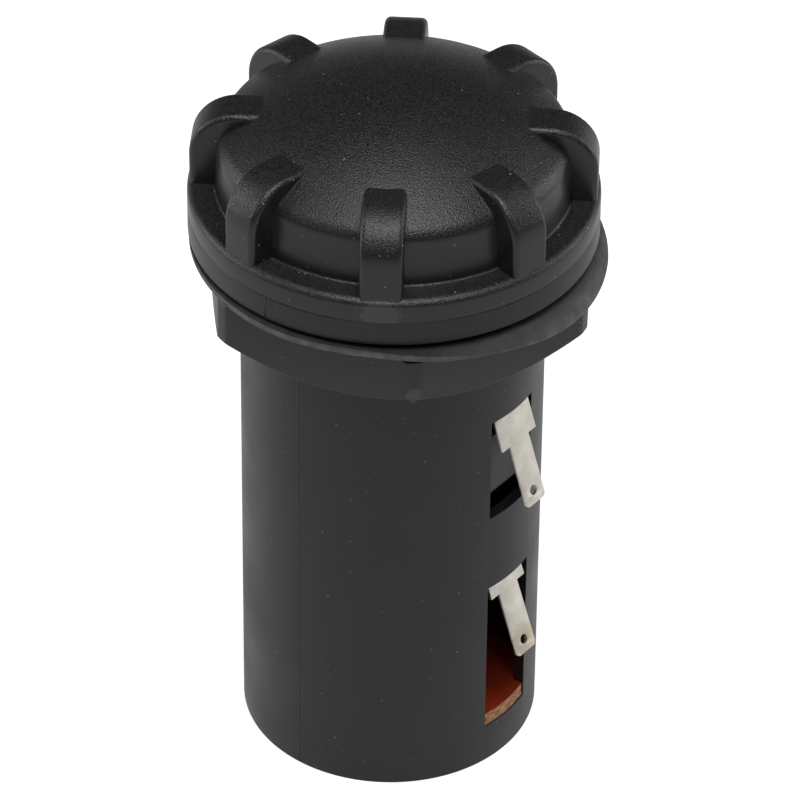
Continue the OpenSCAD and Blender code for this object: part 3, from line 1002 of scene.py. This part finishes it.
def build_tube(scene):
    """The turned tube with its windows, the strip's groove and both outer threads."""
    tube, threads = scene.cell_holder_tube, scene.cell_holder_threads
    piece = turned("holder_body", tube_outline(tube, threads), 288)
    inner, outer = window_reach(tube)
    slot_sill = tube.upper_top - tube.slot
    groove_floor = 18.0 * MM
    groove = rectangle(tube.bore - MM, slot_sill, groove_floor, COLLAR_TOP + MM)
    for name, outline, width in (
        ("upper_window_cut", upper_window_outline(tube), tube.window),
        ("lower_window_cut", rectangle(inner, DISC_SEAT, outer, tube.lower_top), tube.window),
        ("strip_groove_cut", groove, tube.groove),
    ):
        carve(piece, prism(name, outline, width))
    neck_span = -tube.neck_length + 0.8 * MM, -0.9 * MM
    collar_span = FLANGE_TOP + 2.6 * MM, COLLAR_TOP - 1.3 * MM
    neck = add_thread(
        "neck_thread", tube.neck - threads.nut_depth, threads.nut_depth, threads.nut_pitch,
        *neck_span,
    )
    collar = add_thread(
        "collar_thread", tube.collar - threads.cap_depth, threads.cap_depth, threads.cap_pitch,
        *collar_span,
    )
    return join(piece, neck, collar)


def crown_outline(cap):
    """Section of the cap's solid form: rim, shelf, drafted wall, shoulder and spherical top."""
    shelf = FLANGE_TOP + cap.rim_height
    foot_fillet = 0.35 * MM
    wall = cap.crown_foot - cap.crown_draft
    centre = CROWN_TOP - cap.crown_radius
    shoulder_r = wall - cap.shoulder
    shoulder_z = centre + math.sqrt((cap.crown_radius - cap.shoulder) ** 2 - shoulder_r ** 2)
    meet = math.atan2(shoulder_z - centre, shoulder_r)
    foot = rounded([
        (0, FLANGE_TOP),
        (FLANGE_RADIUS, FLANGE_TOP, 0.12 * MM),
        (FLANGE_RADIUS, shelf, cap.rim_edge),
        (cap.crown_foot, shelf, foot_fillet),
        (wall, shoulder_z),
    ], 8)
    shoulder = arc((shoulder_r, shoulder_z), cap.shoulder, 0, meet, 14)
    dome = arc((0, centre), cap.crown_radius, meet, math.pi / 2, 40)
    return foot[:-1] + shoulder + dome[1:-1] + [(0, CROWN_TOP)]


def cap_bore(tube):
    """Radius of the cap's threaded bore, just clear of the collar's crests."""
    return tube.collar + 0.1 * MM


def hollow_outline(cap, tube):
    """Section of the cap's inside: seal pocket, threaded bore, crown and the rivet's boss."""
    bore = cap_bore(tube)
    pocket = SEAL_HIGH.x + 0.05 * MM
    pocket_top = SEAL_HIGH.z + 0.04 * MM
    contact_top = CONTACT_HIGH.z
    ledge = contact_top + 0.1 * MM
    rivet_end = contact_top + 4 * MM
    inner = cap.crown_radius - cap.wall
    centre = CROWN_TOP - cap.crown_radius
    hollow = bore - 0.6 * MM
    boss = 4.0 * MM
    top = arc((0, centre), inner, math.acos(hollow / inner), math.acos(boss / inner), 20)
    return [
        (0, FLANGE_TOP - MM), (pocket, FLANGE_TOP - MM), (pocket, pocket_top),
        (bore, pocket_top), (bore, ledge), (hollow, ledge), *top, (boss, contact_top),
        (RIVET_SHANK, contact_top), (RIVET_SHANK, rivet_end), (0, rivet_end),
    ]


def build_lug(cap):
    """One grip lug: a bar with soft long edges, swept out, round the corner and down."""
    face = FLANGE_RADIUS - cap.lug_inset
    top = FLANGE_TOP + cap.lug_top
    bend = cap.lug_bend
    turn = (face - bend, top - bend)
    root = 12 * MM
    inside = 0.7 * MM
    steps = 20
    path = [((root, turn[1]), math.pi / 2)]
    path += [(turn, math.pi / 2 * (1 - i / steps)) for i in range(steps + 1)]
    path += [((turn[0], FLANGE_TOP + cap.rim_height / 2), 0.0)]
    half = cap.lug_width / 2
    edge = cap.lug_edge
    side = [(half, inside), *arc((half - edge, bend - edge), edge, 0, math.pi / 2, 8)]
    section = side + [(-across, out) for across, out in reversed(side)]
    bm = bmesh.new()
    rows = []
    for (x, z), lean in path:
        rows.append([
            bm.verts.new((x + out * math.cos(lean), across, z + out * math.sin(lean)))
            for across, out in section
        ])
    skin(bm, rows)
    bm.faces.new(rows[0])
    bm.faces.new(reversed(rows[-1]))
    return new_piece("lug", bm)


def lump(name, place, size, outward, seed):
    """The torn stub that is left where a mould's gate was broken off."""
    torn = 0.13
    bm = bmesh.new()
    bmesh.ops.create_icosphere(bm, subdivisions=3, radius=1.0)
    rng = random.Random(seed)
    for v in bm.verts:
        v.co *= 1 + rng.uniform(-torn, torn)
    side = UP.cross(outward)
    turn = Matrix((outward, side, (0, 0, 1))).transposed()
    for v in bm.verts:
        v.co = place + turn @ Vector((v.co.x * size[0], v.co.y * size[1], v.co.z * size[2]))
    return new_piece(name, bm)


def round_place(radius, degrees, height):
    """A place on a circle about Z."""
    turn = math.radians(degrees)
    return Vector((radius * math.cos(turn), radius * math.sin(turn), height))


def build_cap(scene):
    """The lugged, hollow crown with its inner thread and the stub of its gate."""
    cap, tube = scene.cell_holder_cap, scene.cell_holder_tube
    threads = scene.cell_holder_threads
    piece = turned("screw_cap", crown_outline(cap), 288)
    lug = build_lug(cap)
    hollow = turned("cap_hollow", hollow_outline(cap, tube), 192)
    run_tree(
        piece, "Lugged Crown", lug=lug, hollow=hollow, count=cap.lugs, turn=cap.lug_turn,
    )
    clean(piece)
    bpy.data.objects.remove(lug)
    bpy.data.objects.remove(hollow)
    thread = add_thread(
        "cap_thread", cap_bore(tube), -threads.cap_depth + 0.05 * MM, threads.cap_pitch,
        SEAL_HIGH.z + 1.5 * MM, COLLAR_TOP - 0.6 * MM, phase=math.pi,
    )
    gate = round_place(FLANGE_RADIUS - 0.1 * MM, FRONT_LUG, FLANGE_TOP + 0.35 * MM)
    stub = lump("cap_gate", gate, (0.1 * MM, 0.7 * MM, 0.5 * MM), round_place(1, FRONT_LUG, 0), 4)
    return join(piece, thread, stub)


def nut_radius(fixing, turn):
    """Radius of the nut's side at an angle: a hexagon with its corners blunted."""
    corner = math.pi / 3
    from_flat = (turn - fixing.nut_turn) % corner - corner / 2
    flat = fixing.across_flats / 2 / math.cos(from_flat)
    blend = 0.07 * MM
    return fixing.corners - blend * math.log(math.exp((fixing.corners - flat) / blend) + 1)


def nut_section(fixing, bore, radius):
    """The nut's section where its side stands at this radius."""
    low, high = NUT_LOW.z, NUT_HIGH.z
    slope = fixing.chamfer_slope
    rise = slope * (radius - fixing.chamfer_foot)
    top_start = fixing.corners - fixing.top_chamfer / slope
    least_fall = 0.16 * MM
    fall = max(least_fall, slope * (radius - top_start))
    edge = fixing.edge
    return rounded([
        (bore, low, 0.2 * MM),
        (fixing.chamfer_foot, low, edge),
        (radius, low + rise, edge),
        (radius, high - fall, min(edge, fall / 2)),
        (radius - fall / slope, high, min(edge, fall / 2)),
        (bore, high, 0.2 * MM),
    ], 4)


def build_nut(scene):
    """The hexagonal nut, leaning on its thread and a little off the axis."""
    fixing, tube = scene.cell_holder_fixing, scene.cell_holder_tube
    threads = scene.cell_holder_threads
    bore = tube.neck + fixing.nut_aside
    aside = round_place(fixing.nut_aside, math.degrees(fixing.aside_turn), 0)
    steps = 720
    bm = bmesh.new()
    rows = []
    for i in range(steps):
        turn = TURN * i / steps
        section = nut_section(fixing, bore, nut_radius(fixing, turn))
        places = (Vector((r * math.cos(turn), r * math.sin(turn), z)) for r, z in section)
        rows.append([bm.verts.new(aside + tilted(fixing, place)) for place in places])
    skin(bm, rows, around=True)
    piece = new_piece("hex_panel_nut", bm)
    thread = add_thread(
        "nut_thread", bore, -threads.nut_depth + 0.05 * MM, threads.nut_pitch,
        NUT_LOW.z + 0.5 * MM, NUT_HIGH.z - 0.5 * MM, phase=math.pi,
    )
    gate = round_place(fixing.corners - 0.15 * MM, NUT_GATE, NUT_LOW.z + 2.1 * MM)
    stub = lump("nut_gate", gate, (0.22 * MM, 0.42 * MM, 0.34 * MM), round_place(1, NUT_GATE, 0), 9)
    return join(piece, thread, stub)


def tilted(fixing, place):
    """Leans a place with the nut, about a level axis through the nut's middle."""
    towards = round_place(1, math.degrees(fixing.tilt_turn), 0)
    axis = UP.cross(towards)
    centre = Vector((0, 0, (NUT_LOW.z + NUT_HIGH.z) / 2))
    return Matrix.Rotation(fixing.nut_tilt, 3, axis) @ (place - centre) + centre


def smooth_between(values, turn):
    """A value on a closed ring of even steps, eased between its neighbours."""
    step = TURN / len(values)
    index, share = divmod(turn % TURN / step, 1)
    p0, p1, p2, p3 = (values[(int(index) + k - 1) % len(values)] for k in range(4))
    return p1 + 0.5 * share * (
        p2 - p0 + share * (2 * p0 - 5 * p1 + 4 * p2 - p3 + share * (3 * (p1 - p2) + p3 - p0))
    )


def build_gasket(scene):
    """The soft washer: flat where it lies on the nut, and hanging where it reaches past it."""
    fixing = scene.cell_holder_fixing
    thick = (GASKET_HIGH.z - GASKET_LOW.z) * 0.78
    outer = GASKET_HIGH.x - GASKET_CENTRE.x
    inner = fixing.gasket_bore
    # The share of the width that lies flat, and the power by which the rest turns down.
    flat = 0.5
    sharp = 1.7
    clear = 0.02 * MM
    steps = 288
    across = 20
    bm = bmesh.new()
    rows = []
    for i in range(steps):
        turn = TURN * i / steps
        outward = Vector((math.cos(turn), math.sin(turn), 0))
        hang = smooth_between(RIM_HANG, turn)
        rim_slope = abs(hang) * sharp / ((outer - inner) * (1 - flat))
        reach = outer - thick / 2 * math.sin(math.atan(rim_slope)) - inner
        line = []
        for k in range(across + 1):
            share = k / across
            part = max(0.0, share - flat) / (1 - flat)
            slope = hang * sharp * part ** (sharp - 1) / (reach * (1 - flat))
            line.append((inner + reach * share, hang * part ** sharp, slope))
        bottom, top = [], []
        for radius, drop, slope in line:
            place = outward * radius + Vector((GASKET_CENTRE.x, GASKET_CENTRE.y, 0))
            seat = tilted(fixing, Vector((place.x, place.y, GASKET_LOW.z + clear)))
            normal = (UP + outward * slope).normalized()
            place.z = seat.z + thick / 2 - drop
            top.append(place + normal * thick / 2)
            bottom.append(place - normal * thick / 2)
        rows.append([bm.verts.new(p) for p in bottom + top[::-1]])
    skin(bm, rows, around=True)
    piece = new_piece("rubber_washer", bm)
    return soften(piece, 0.08 * MM)


class SheetPath:
    """Middle line of a folded strip in the XZ plane, from its straight runs and bends."""

    def __init__(self, start, heading):
        self.parts = []
        self.place = Vector(start)
        self.heading = heading
        self.length = 0.0

    def run(self, reach):
        """Goes on straight."""
        self.parts.append((self.length, reach, self.place.copy(), self.heading, 0.0))
        self.place += Vector((math.cos(self.heading), math.sin(self.heading))) * reach
        self.length += reach
        return self

    def bend(self, turn, radius):
        """Folds by an angle, to the left if it is above zero."""
        reach = abs(turn) * radius
        self.parts.append((self.length, reach, self.place.copy(), self.heading, turn))
        sign = math.copysign(1, turn)
        left = Vector((-math.sin(self.heading), math.cos(self.heading)))
        centre = self.place + left * radius * sign
        arm = self.place - centre
        arm.rotate(Matrix.Rotation(turn, 2))
        self.place = centre + arm
        self.heading += turn
        self.length += reach
        return self

    def stops(self):
        """Lengths at which the strip needs a row: every run's ends, and steps round each bend."""
        marks = []
        for start, reach, _, _, turn in self.parts:
            steps = max(1, round(abs(turn) / math.radians(9)))
            marks += [start + reach * i / steps for i in range(steps + 1)]
        return marks

    def at(self, s):
        """Place and normal of the middle line at a length."""
        for start, reach, place, heading, turn in self.parts:
            if s <= start + reach + 1e-9:
                break
        d = s - start
        if turn == 0.0:
            point = place + Vector((math.cos(heading), math.sin(heading))) * d
        else:
            radius = reach / abs(turn)
            sign = math.copysign(1, turn)
            centre = place + Vector((-math.sin(heading), math.cos(heading))) * radius * sign
            arm = place - centre
            arm.rotate(Matrix.Rotation(turn * d / reach, 2))
            point = centre + arm
            heading += turn * d / reach
        return point, Vector((-math.sin(heading), math.cos(heading)))


def sheet_rows(contacts, path, strip_end, head_end, strip_half):
    """Rows (length, half width, tag half width, eye half width) of a strip that ends in a tag."""
    end = path.length
    tag = contacts.tag / 2
    head = contacts.head / 2
    corner = 0.6 * MM
    eye = end - contacts.eye_edge
    marks = set(round(s, 9) for s in path.stops() if s < end - corner - 1e-6)
    marks |= {round(s, 9) for s in (strip_end, head_end)}
    marks |= {round(eye - contacts.eye * math.cos(math.pi * i / 16), 9) for i in range(17)}
    marks |= {round(end - corner * (1 - math.sin(math.pi / 2 * i / 6)), 9) for i in range(7)}
    rows = []
    for s in sorted(marks):
        opening = contacts.eye ** 2 - (s - eye) ** 2
        opening = math.sqrt(opening) if opening > 1e-12 else 0.0
        near_end = max(0.0, corner - (end - s))
        narrow = tag - corner + math.sqrt(max(0.0, corner ** 2 - near_end ** 2))
        if s < strip_end - 1e-9:
            rows.append((s, strip_half, min(tag, strip_half), opening))
        elif s < strip_end + 1e-9 and strip_half != head:
            rows.append((s, strip_half, min(tag, strip_half), opening))
            rows.append((s, head, min(tag, strip_half), opening))
        elif s < head_end - 1e-9:
            rows.append((s, head, tag, opening))
        elif s < head_end + 1e-9:
            rows.append((s, head, tag, opening))
            rows.append((s, tag, tag, opening))
        else:
            rows.append((s, narrow, narrow, opening))
    return rows


def sheet_piece(name, contacts, path, rows):
    """Folds a flat strip, given by rows of half widths, along a path, at the sheet's thickness."""
    bm = bmesh.new()
    layers = []
    for side in (-0.5, 0.5):
        grid = []
        for s, wide, narrow, opening in rows:
            point, normal = path.at(s)
            place = point + normal * contacts.sheet * side
            grid.append([
                bm.verts.new((place.x, y, place.y))
                for y in (-wide, -narrow, -opening, opening, narrow, wide)
            ])
        layers.append(grid)
    bottom, top = layers
    for a in range(len(rows) - 1):
        for k in (0, 1, 3, 4):
            for grid in (bottom, top):
                bm.faces.new([grid[a][k], grid[a][k + 1], grid[a + 1][k + 1], grid[a + 1][k]])
        for k in (0, 5):
            bm.faces.new([bottom[a][k], bottom[a + 1][k], top[a + 1][k], top[a][k]])
        if rows[a][3] + rows[a + 1][3] > 0:
            for k in (2, 3):
                bm.faces.new([bottom[a][k], bottom[a + 1][k], top[a + 1][k], top[a][k]])
    for a in (0, -1):
        for k in (0, 1, 3, 4):
            bm.faces.new([bottom[a][k], bottom[a][k + 1], top[a][k + 1], top[a][k]])
    bmesh.ops.remove_doubles(bm, verts=bm.verts, dist=1e-7)
    bmesh.ops.dissolve_degenerate(bm, edges=bm.edges, dist=1e-7)
    piece = new_piece(name, bm)
    return soften(piece, 0.05 * MM)


def build_upper_terminal(scene):
    """The positive strip: over the rim, down its groove, out at the slot and down as a tag."""
    contacts = scene.cell_holder_contacts
    sheet = contacts.sheet
    strip_x = UPPER_LOW.x + sheet / 2
    rim_z = UPPER_HIGH.z - sheet / 2
    rim_end, rim_bend = 19.2 * MM, 0.3 * MM
    fold_middle = contacts.fold + sheet / 2
    level = scene.cell_holder_tube.upper_top - 0.1 * MM - sheet / 2
    joggle = 0.25 * MM
    fold_x = 18.05 * MM
    path = SheetPath((rim_end, rim_z), math.pi)
    path.run(rim_end - strip_x - rim_bend).bend(math.pi / 2, rim_bend)
    path.run(rim_z - level - rim_bend - joggle).bend(math.pi / 2, joggle)
    strip_end = path.length
    path.run(fold_x - strip_x - joggle).bend(contacts.upper_lean - math.pi / 2, fold_middle)
    head_end = path.length + contacts.upper_head
    path.run(contacts.upper_head + contacts.upper_tag)
    rows = sheet_rows(contacts, path, strip_end, head_end, contacts.strip / 2)
    return sheet_piece("positive_strip", contacts, path, rows)


def build_lower_terminal(scene):
    """The negative plate, with a tongue that leaves at the lower window and ends in a tag."""
    contacts, tube = scene.cell_holder_contacts, scene.cell_holder_tube
    sheet = contacts.sheet
    level = LOWER_HIGH.z - sheet / 2
    fold_middle = contacts.fold + sheet / 2
    set_back = 0.45 * MM
    fold_x = jamb(tube) - set_back - contacts.fold - sheet
    start = 15.0 * MM
    path = SheetPath((start, level), 0.0)
    path.run(fold_x - start).bend(contacts.lower_lean - math.pi / 2, fold_middle)
    head_end = path.length + contacts.lower_head
    path.run(contacts.lower_head + contacts.lower_tag)
    rows = sheet_rows(contacts, path, 0.0, head_end, contacts.head / 2)
    tongue = sheet_piece("negative_tag", contacts, path, rows)
    reach = -LOWER_LOW.x
    under = LOWER_HIGH.z - sheet
    plate = turned("negative_plate", rounded([
        (0, under), (reach, under, 0.1 * MM), (reach, LOWER_HIGH.z, 0.15 * MM), (0, LOWER_HIGH.z),
    ], 4), 192)
    return join(plate, tongue)


def build_disc(scene):
    """The laminate disc, with the rough edge that its punch left on the key."""
    tube = scene.cell_holder_tube
    radius = -DISC_LOW.x
    half = tube.window / 2 - 0.1 * MM
    reach = DISC_HIGH.x
    start = math.asin(half / radius)
    outline = arc((0, 0), radius, start, TURN - start, 220)
    tip = math.asin(half / reach)
    outline += arc((0, 0), reach, -tip, tip, 70)
    rng = random.Random(7)
    layers = 9
    torn, worn = 0.13, 0.05 * MM
    bm = bmesh.new()
    rings = []
    for layer in range(layers + 1):
        z = DISC_LOW.z + (DISC_HIGH.z - DISC_LOW.z) * layer / layers
        ring = []
        for x, y in outline:
            on_key = x > radius + 0.2 * MM
            if on_key and 0 < layer < layers:
                ragged = rng.uniform(0.0, torn) * MM
            else:
                ragged = worn * on_key
            pull = 1 - ragged / max(x, MM)
            ring.append(bm.verts.new((x * pull, y * pull, z)))
        rings.append(ring)
    skin(bm, rings)
    bm.faces.new(reversed(rings[0]))
    bm.faces.new(rings[-1])
    return new_piece("laminate_disc", bm)


def build_spring(scene):
    """The spring under the negative plate."""
    contacts = scene.cell_holder_contacts
    radius = SPRING_HIGH.x - contacts.wire / 2
    return run_tree(
        empty_piece("coil_spring"), "Coil Spring", radius=radius, wire=contacts.wire,
        turns=contacts.turns, start=SPRING_LOW.z + contacts.wire / 2,
        height=SPRING_HIGH.z - SPRING_LOW.z - contacts.wire,
    )


def build_seal():
    """The O-ring between the cap and the flange."""
    radius = (SEAL_HIGH.z - SEAL_LOW.z) / 2
    centre = (SEAL_HIGH.x - radius, (SEAL_HIGH.z + SEAL_LOW.z) / 2)
    return turned("seal_ring", arc(centre, radius, 0, TURN * 23 / 24, 23), 256)


def build_contact():
    """The cap's contact plate, with a turned edge and a hole for the rivet."""
    hole = 1.6 * MM
    return turned("contact_plate", rounded([
        (hole, CONTACT_LOW.z, 0.05 * MM), (CONTACT_HIGH.x, CONTACT_LOW.z, 0.12 * MM),
        (CONTACT_HIGH.x, CONTACT_HIGH.z, 0.06 * MM), (hole, CONTACT_HIGH.z, 0.05 * MM),
    ], 4), 192)


def build_rivet():
    """The rivet: a low domed head under the plate, and its shank."""
    head_top = CONTACT_LOW.z - 0.05 * MM
    return turned("rivet", rounded([
        (0, RIVET_LOW.z), (RIVET_HIGH.x * 0.55, RIVET_LOW.z, 0.5 * MM),
        (RIVET_HIGH.x, RIVET_LOW.z + 0.4 * MM, 0.15 * MM), (RIVET_HIGH.x, head_top, 0.1 * MM),
        (RIVET_SHANK, head_top), (RIVET_SHANK, RIVET_HIGH.z), (0, RIVET_HIGH.z),
    ], 5), 96)


# ---------------------------------------------------------------------------
# Operators
# ---------------------------------------------------------------------------

class CELLHOLDER_OT_tube(bpy.types.Operator):
    """Build the moulded tube with its windows, neck, flange and threaded collar"""

    bl_idname = "cell_holder.tube"
    bl_label = "Tube"

    def execute(self, context):
        piece = build_tube(context.scene)
        material = tube_material(context.scene.cell_holder_finish)
        finish_piece(piece, "holder", material, "body_plastic", "body")
        return {"FINISHED"}


class CELLHOLDER_OT_cap(bpy.types.Operator):
    """Build the screw cap with its grip lugs"""

    bl_idname = "cell_holder.cap"
    bl_label = "Screw Cap"

    def execute(self, context):
        piece = build_cap(context.scene)
        gate = round_place(FLANGE_RADIUS, FRONT_LUG, FLANGE_TOP + 0.9 * MM)
        material = cap_material(context.scene.cell_holder_finish, gate)
        finish_piece(piece, "cap", material, "cap_plastic", "cap")
        return {"FINISHED"}


class CELLHOLDER_OT_cap_fittings(bpy.types.Operator):
    """Build the cap's contact plate, its rivet and the seal"""

    bl_idname = "cell_holder.cap_fittings"
    bl_label = "Cap Fittings"

    def execute(self, context):
        finish = context.scene.cell_holder_finish
        plate = plated_material(finish)
        finish_piece(build_contact(), "cap_contact", plate, "plated_strip", "cap_contact")
        finish_piece(build_rivet(), "cap", rivet_material(), "rivet_metal", "cap_rivet")
        finish_piece(build_seal(), "holder", seal_material(finish), "seal_rubber", "cap_seal")
        return {"FINISHED"}


class CELLHOLDER_OT_nut(bpy.types.Operator):
    """Build the hexagonal panel nut"""

    bl_idname = "cell_holder.nut"
    bl_label = "Panel Nut"

    def execute(self, context):
        scene = context.scene
        gate = round_place(scene.cell_holder_fixing.corners, NUT_GATE, NUT_LOW.z + 3.0 * MM)
        material = nut_material(scene.cell_holder_finish, gate)
        finish_piece(build_nut(scene), "nut", material, "nut_plastic", "panel_nut")
        return {"FINISHED"}


class CELLHOLDER_OT_gasket(bpy.types.Operator):
    """Build the soft washer that lies on the nut"""

    bl_idname = "cell_holder.gasket"
    bl_label = "Panel Gasket"

    def execute(self, context):
        scene = context.scene
        material = rubber_material(scene.cell_holder_finish)
        finish_piece(build_gasket(scene), "gasket", material, "gasket_rubber", "panel_gasket")
        return {"FINISHED"}


class CELLHOLDER_OT_terminals(bpy.types.Operator):
    """Build both plated strips with their solder tags"""

    bl_idname = "cell_holder.terminals"
    bl_label = "Terminals"

    def execute(self, context):
        scene = context.scene
        material = plated_material(scene.cell_holder_finish)
        upper, lower = build_upper_terminal(scene), build_lower_terminal(scene)
        finish_piece(upper, "holder", material, "plated_strip", "upper_terminal")
        finish_piece(lower, "negative_contact", material, "plated_strip", "lower_terminal")
        return {"FINISHED"}


class CELLHOLDER_OT_inside(bpy.types.Operator):
    """Build the laminate disc and the spring inside the tube"""

    bl_idname = "cell_holder.inside"
    bl_label = "Disc and Spring"

    def execute(self, context):
        scene = context.scene
        laminate = laminate_material(scene.cell_holder_finish)
        finish_piece(build_disc(scene), "holder", laminate, "laminate", "insulating_disc")
        spring = finish_piece(
            build_spring(scene), "holder", wire_material(), "spring_wire", "contact_spring"
        )
        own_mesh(spring)
        return {"FINISHED"}


class CELLHOLDER_OT_stage(bpy.types.Operator):
    """Set the camera, the lights and the floor"""

    bl_idname = "cell_holder.stage"
    bl_label = "Stage"

    def execute(self, context):
        scene = context.scene
        place_camera(scene)
        place_floor(scene)
        place_lights(scene)
        return {"FINISHED"}


def place_camera(scene):
    """The camera looks down at the axis, and leans a little."""
    stage = scene.cell_holder_stage
    turn = stage.azimuth
    aside = Vector((math.cos(turn), math.sin(turn), 0))
    towards = Vector((math.sin(turn), -math.cos(turn), 0))
    back = towards * math.cos(stage.elevation) + UP * math.sin(stage.elevation)
    aim = UP * stage.aim + aside * stage.aside
    data = bpy.data.cameras.new("camera")
    data.lens = stage.lens
    data.sensor_width = 36.0
    data.clip_start = 0.01
    data.clip_end = 20.0
    camera = bpy.data.objects.new("camera", data)
    scene.collection.objects.link(camera)
    rotation = back.to_track_quat("Z", "Y").to_matrix() @ Matrix.Rotation(stage.roll, 3, "Z")
    camera.matrix_world = Matrix.Translation(aim + back * stage.distance) @ rotation.to_4x4()
    scene.camera = camera


def place_floor(scene):
    """A wide pale floor just under the tube's bottom."""
    bm = bmesh.new()
    bmesh.ops.create_grid(bm, x_segments=1, y_segments=1, size=3.0)
    bmesh.ops.translate(bm, verts=bm.verts, vec=(0, 0, TUBE_BOTTOM))
    floor = new_piece("floor", bm, smooth=False)
    floor.data.materials.append(floor_material())


def area_lamp(scene, name, azimuth, elevation, size, power):
    """A soft oblong lamp that faces the object, at an angle round it like the camera's."""
    turn = math.radians(azimuth)
    rise = math.radians(elevation)
    level = math.cos(rise)
    away = Vector((math.sin(turn) * level, -math.cos(turn) * level, math.sin(rise)))
    data = bpy.data.lights.new(name, "AREA")
    data.shape = "RECTANGLE"
    data.size, data.size_y = size
    data.energy = power
    lamp = bpy.data.objects.new(name, data)
    scene.collection.objects.link(lamp)
    facing = away.to_track_quat("Z", "Y").to_matrix().to_4x4()
    lamp.matrix_world = Matrix.Translation(LAMP_AIM + away * LAMP_DISTANCE) @ facing


def place_lights(scene):
    """Plain soft studio light, and a white surround."""
    azimuth = math.degrees(scene.cell_holder_stage.azimuth)
    area_lamp(scene, "key", azimuth + 4, 68, (0.60, 0.60), 6.2)
    area_lamp(scene, "left", azimuth - 100, 12, (0.4, 0.9), 3.6)
    area_lamp(scene, "right", azimuth + 108, 14, (0.4, 0.8), 2.9)
    world = bpy.data.worlds.new("surround")
    scene.world = world
    world.use_nodes = True
    nodes = NodeTree(world.node_tree)
    background = world.node_tree.nodes["Background"].inputs
    seen = nodes.add("ShaderNodeLightPath", output="Is Camera Ray")
    nodes.plug(background["Strength"], nodes.range(seen, 0.0, 1.0, 0.07, 1.0, "LINEAR"))
    nodes.plug(background["Color"], (1.0, 1.0, 1.0, 1.0))
    scene.view_settings.view_transform = "Standard"


class CELLHOLDER_PT_panel(bpy.types.Panel):
    """Lists the sizes, finishes and steps of the cell holder"""

    bl_idname = "CELLHOLDER_PT_panel"
    bl_label = "Cell Holder"
    bl_space_type = "VIEW_3D"
    bl_region_type = "UI"
    bl_category = "Cell Holder"

    def draw(self, context):
        for operator in OPERATORS:
            self.layout.operator(operator.bl_idname)
        for group, owner in SETTINGS.items():
            box = self.layout.box()
            for name in owner.__annotations__:
                box.prop(getattr(context.scene, group), name)


SETTINGS = {
    "cell_holder_tube": CellHolderTube,
    "cell_holder_cap": CellHolderCap,
    "cell_holder_threads": CellHolderThreads,
    "cell_holder_fixing": CellHolderFixing,
    "cell_holder_contacts": CellHolderContacts,
    "cell_holder_finish": CellHolderFinish,
    "cell_holder_stage": CellHolderStage,
}
OPERATORS = (
    CELLHOLDER_OT_stage,
    CELLHOLDER_OT_tube,
    CELLHOLDER_OT_cap,
    CELLHOLDER_OT_cap_fittings,
    CELLHOLDER_OT_nut,
    CELLHOLDER_OT_gasket,
    CELLHOLDER_OT_terminals,
    CELLHOLDER_OT_inside,
)


def register():
    for group, owner in SETTINGS.items():
        bpy.utils.register_class(owner)
        setattr(bpy.types.Scene, group, PointerProperty(type=owner))
    for operator in (*OPERATORS, CELLHOLDER_PT_panel):
        bpy.utils.register_class(operator)


def unregister():
    for operator in reversed((*OPERATORS, CELLHOLDER_PT_panel)):
        bpy.utils.unregister_class(operator)
    for group, owner in SETTINGS.items():
        delattr(bpy.types.Scene, group)
        bpy.utils.unregister_class(owner)


def main():
    register()
    build_trees()
    for operator in OPERATORS:
        group, name = operator.bl_idname.split(".")
        getattr(getattr(bpy.ops, group), name)()


if __name__ == "__main__":
    main()
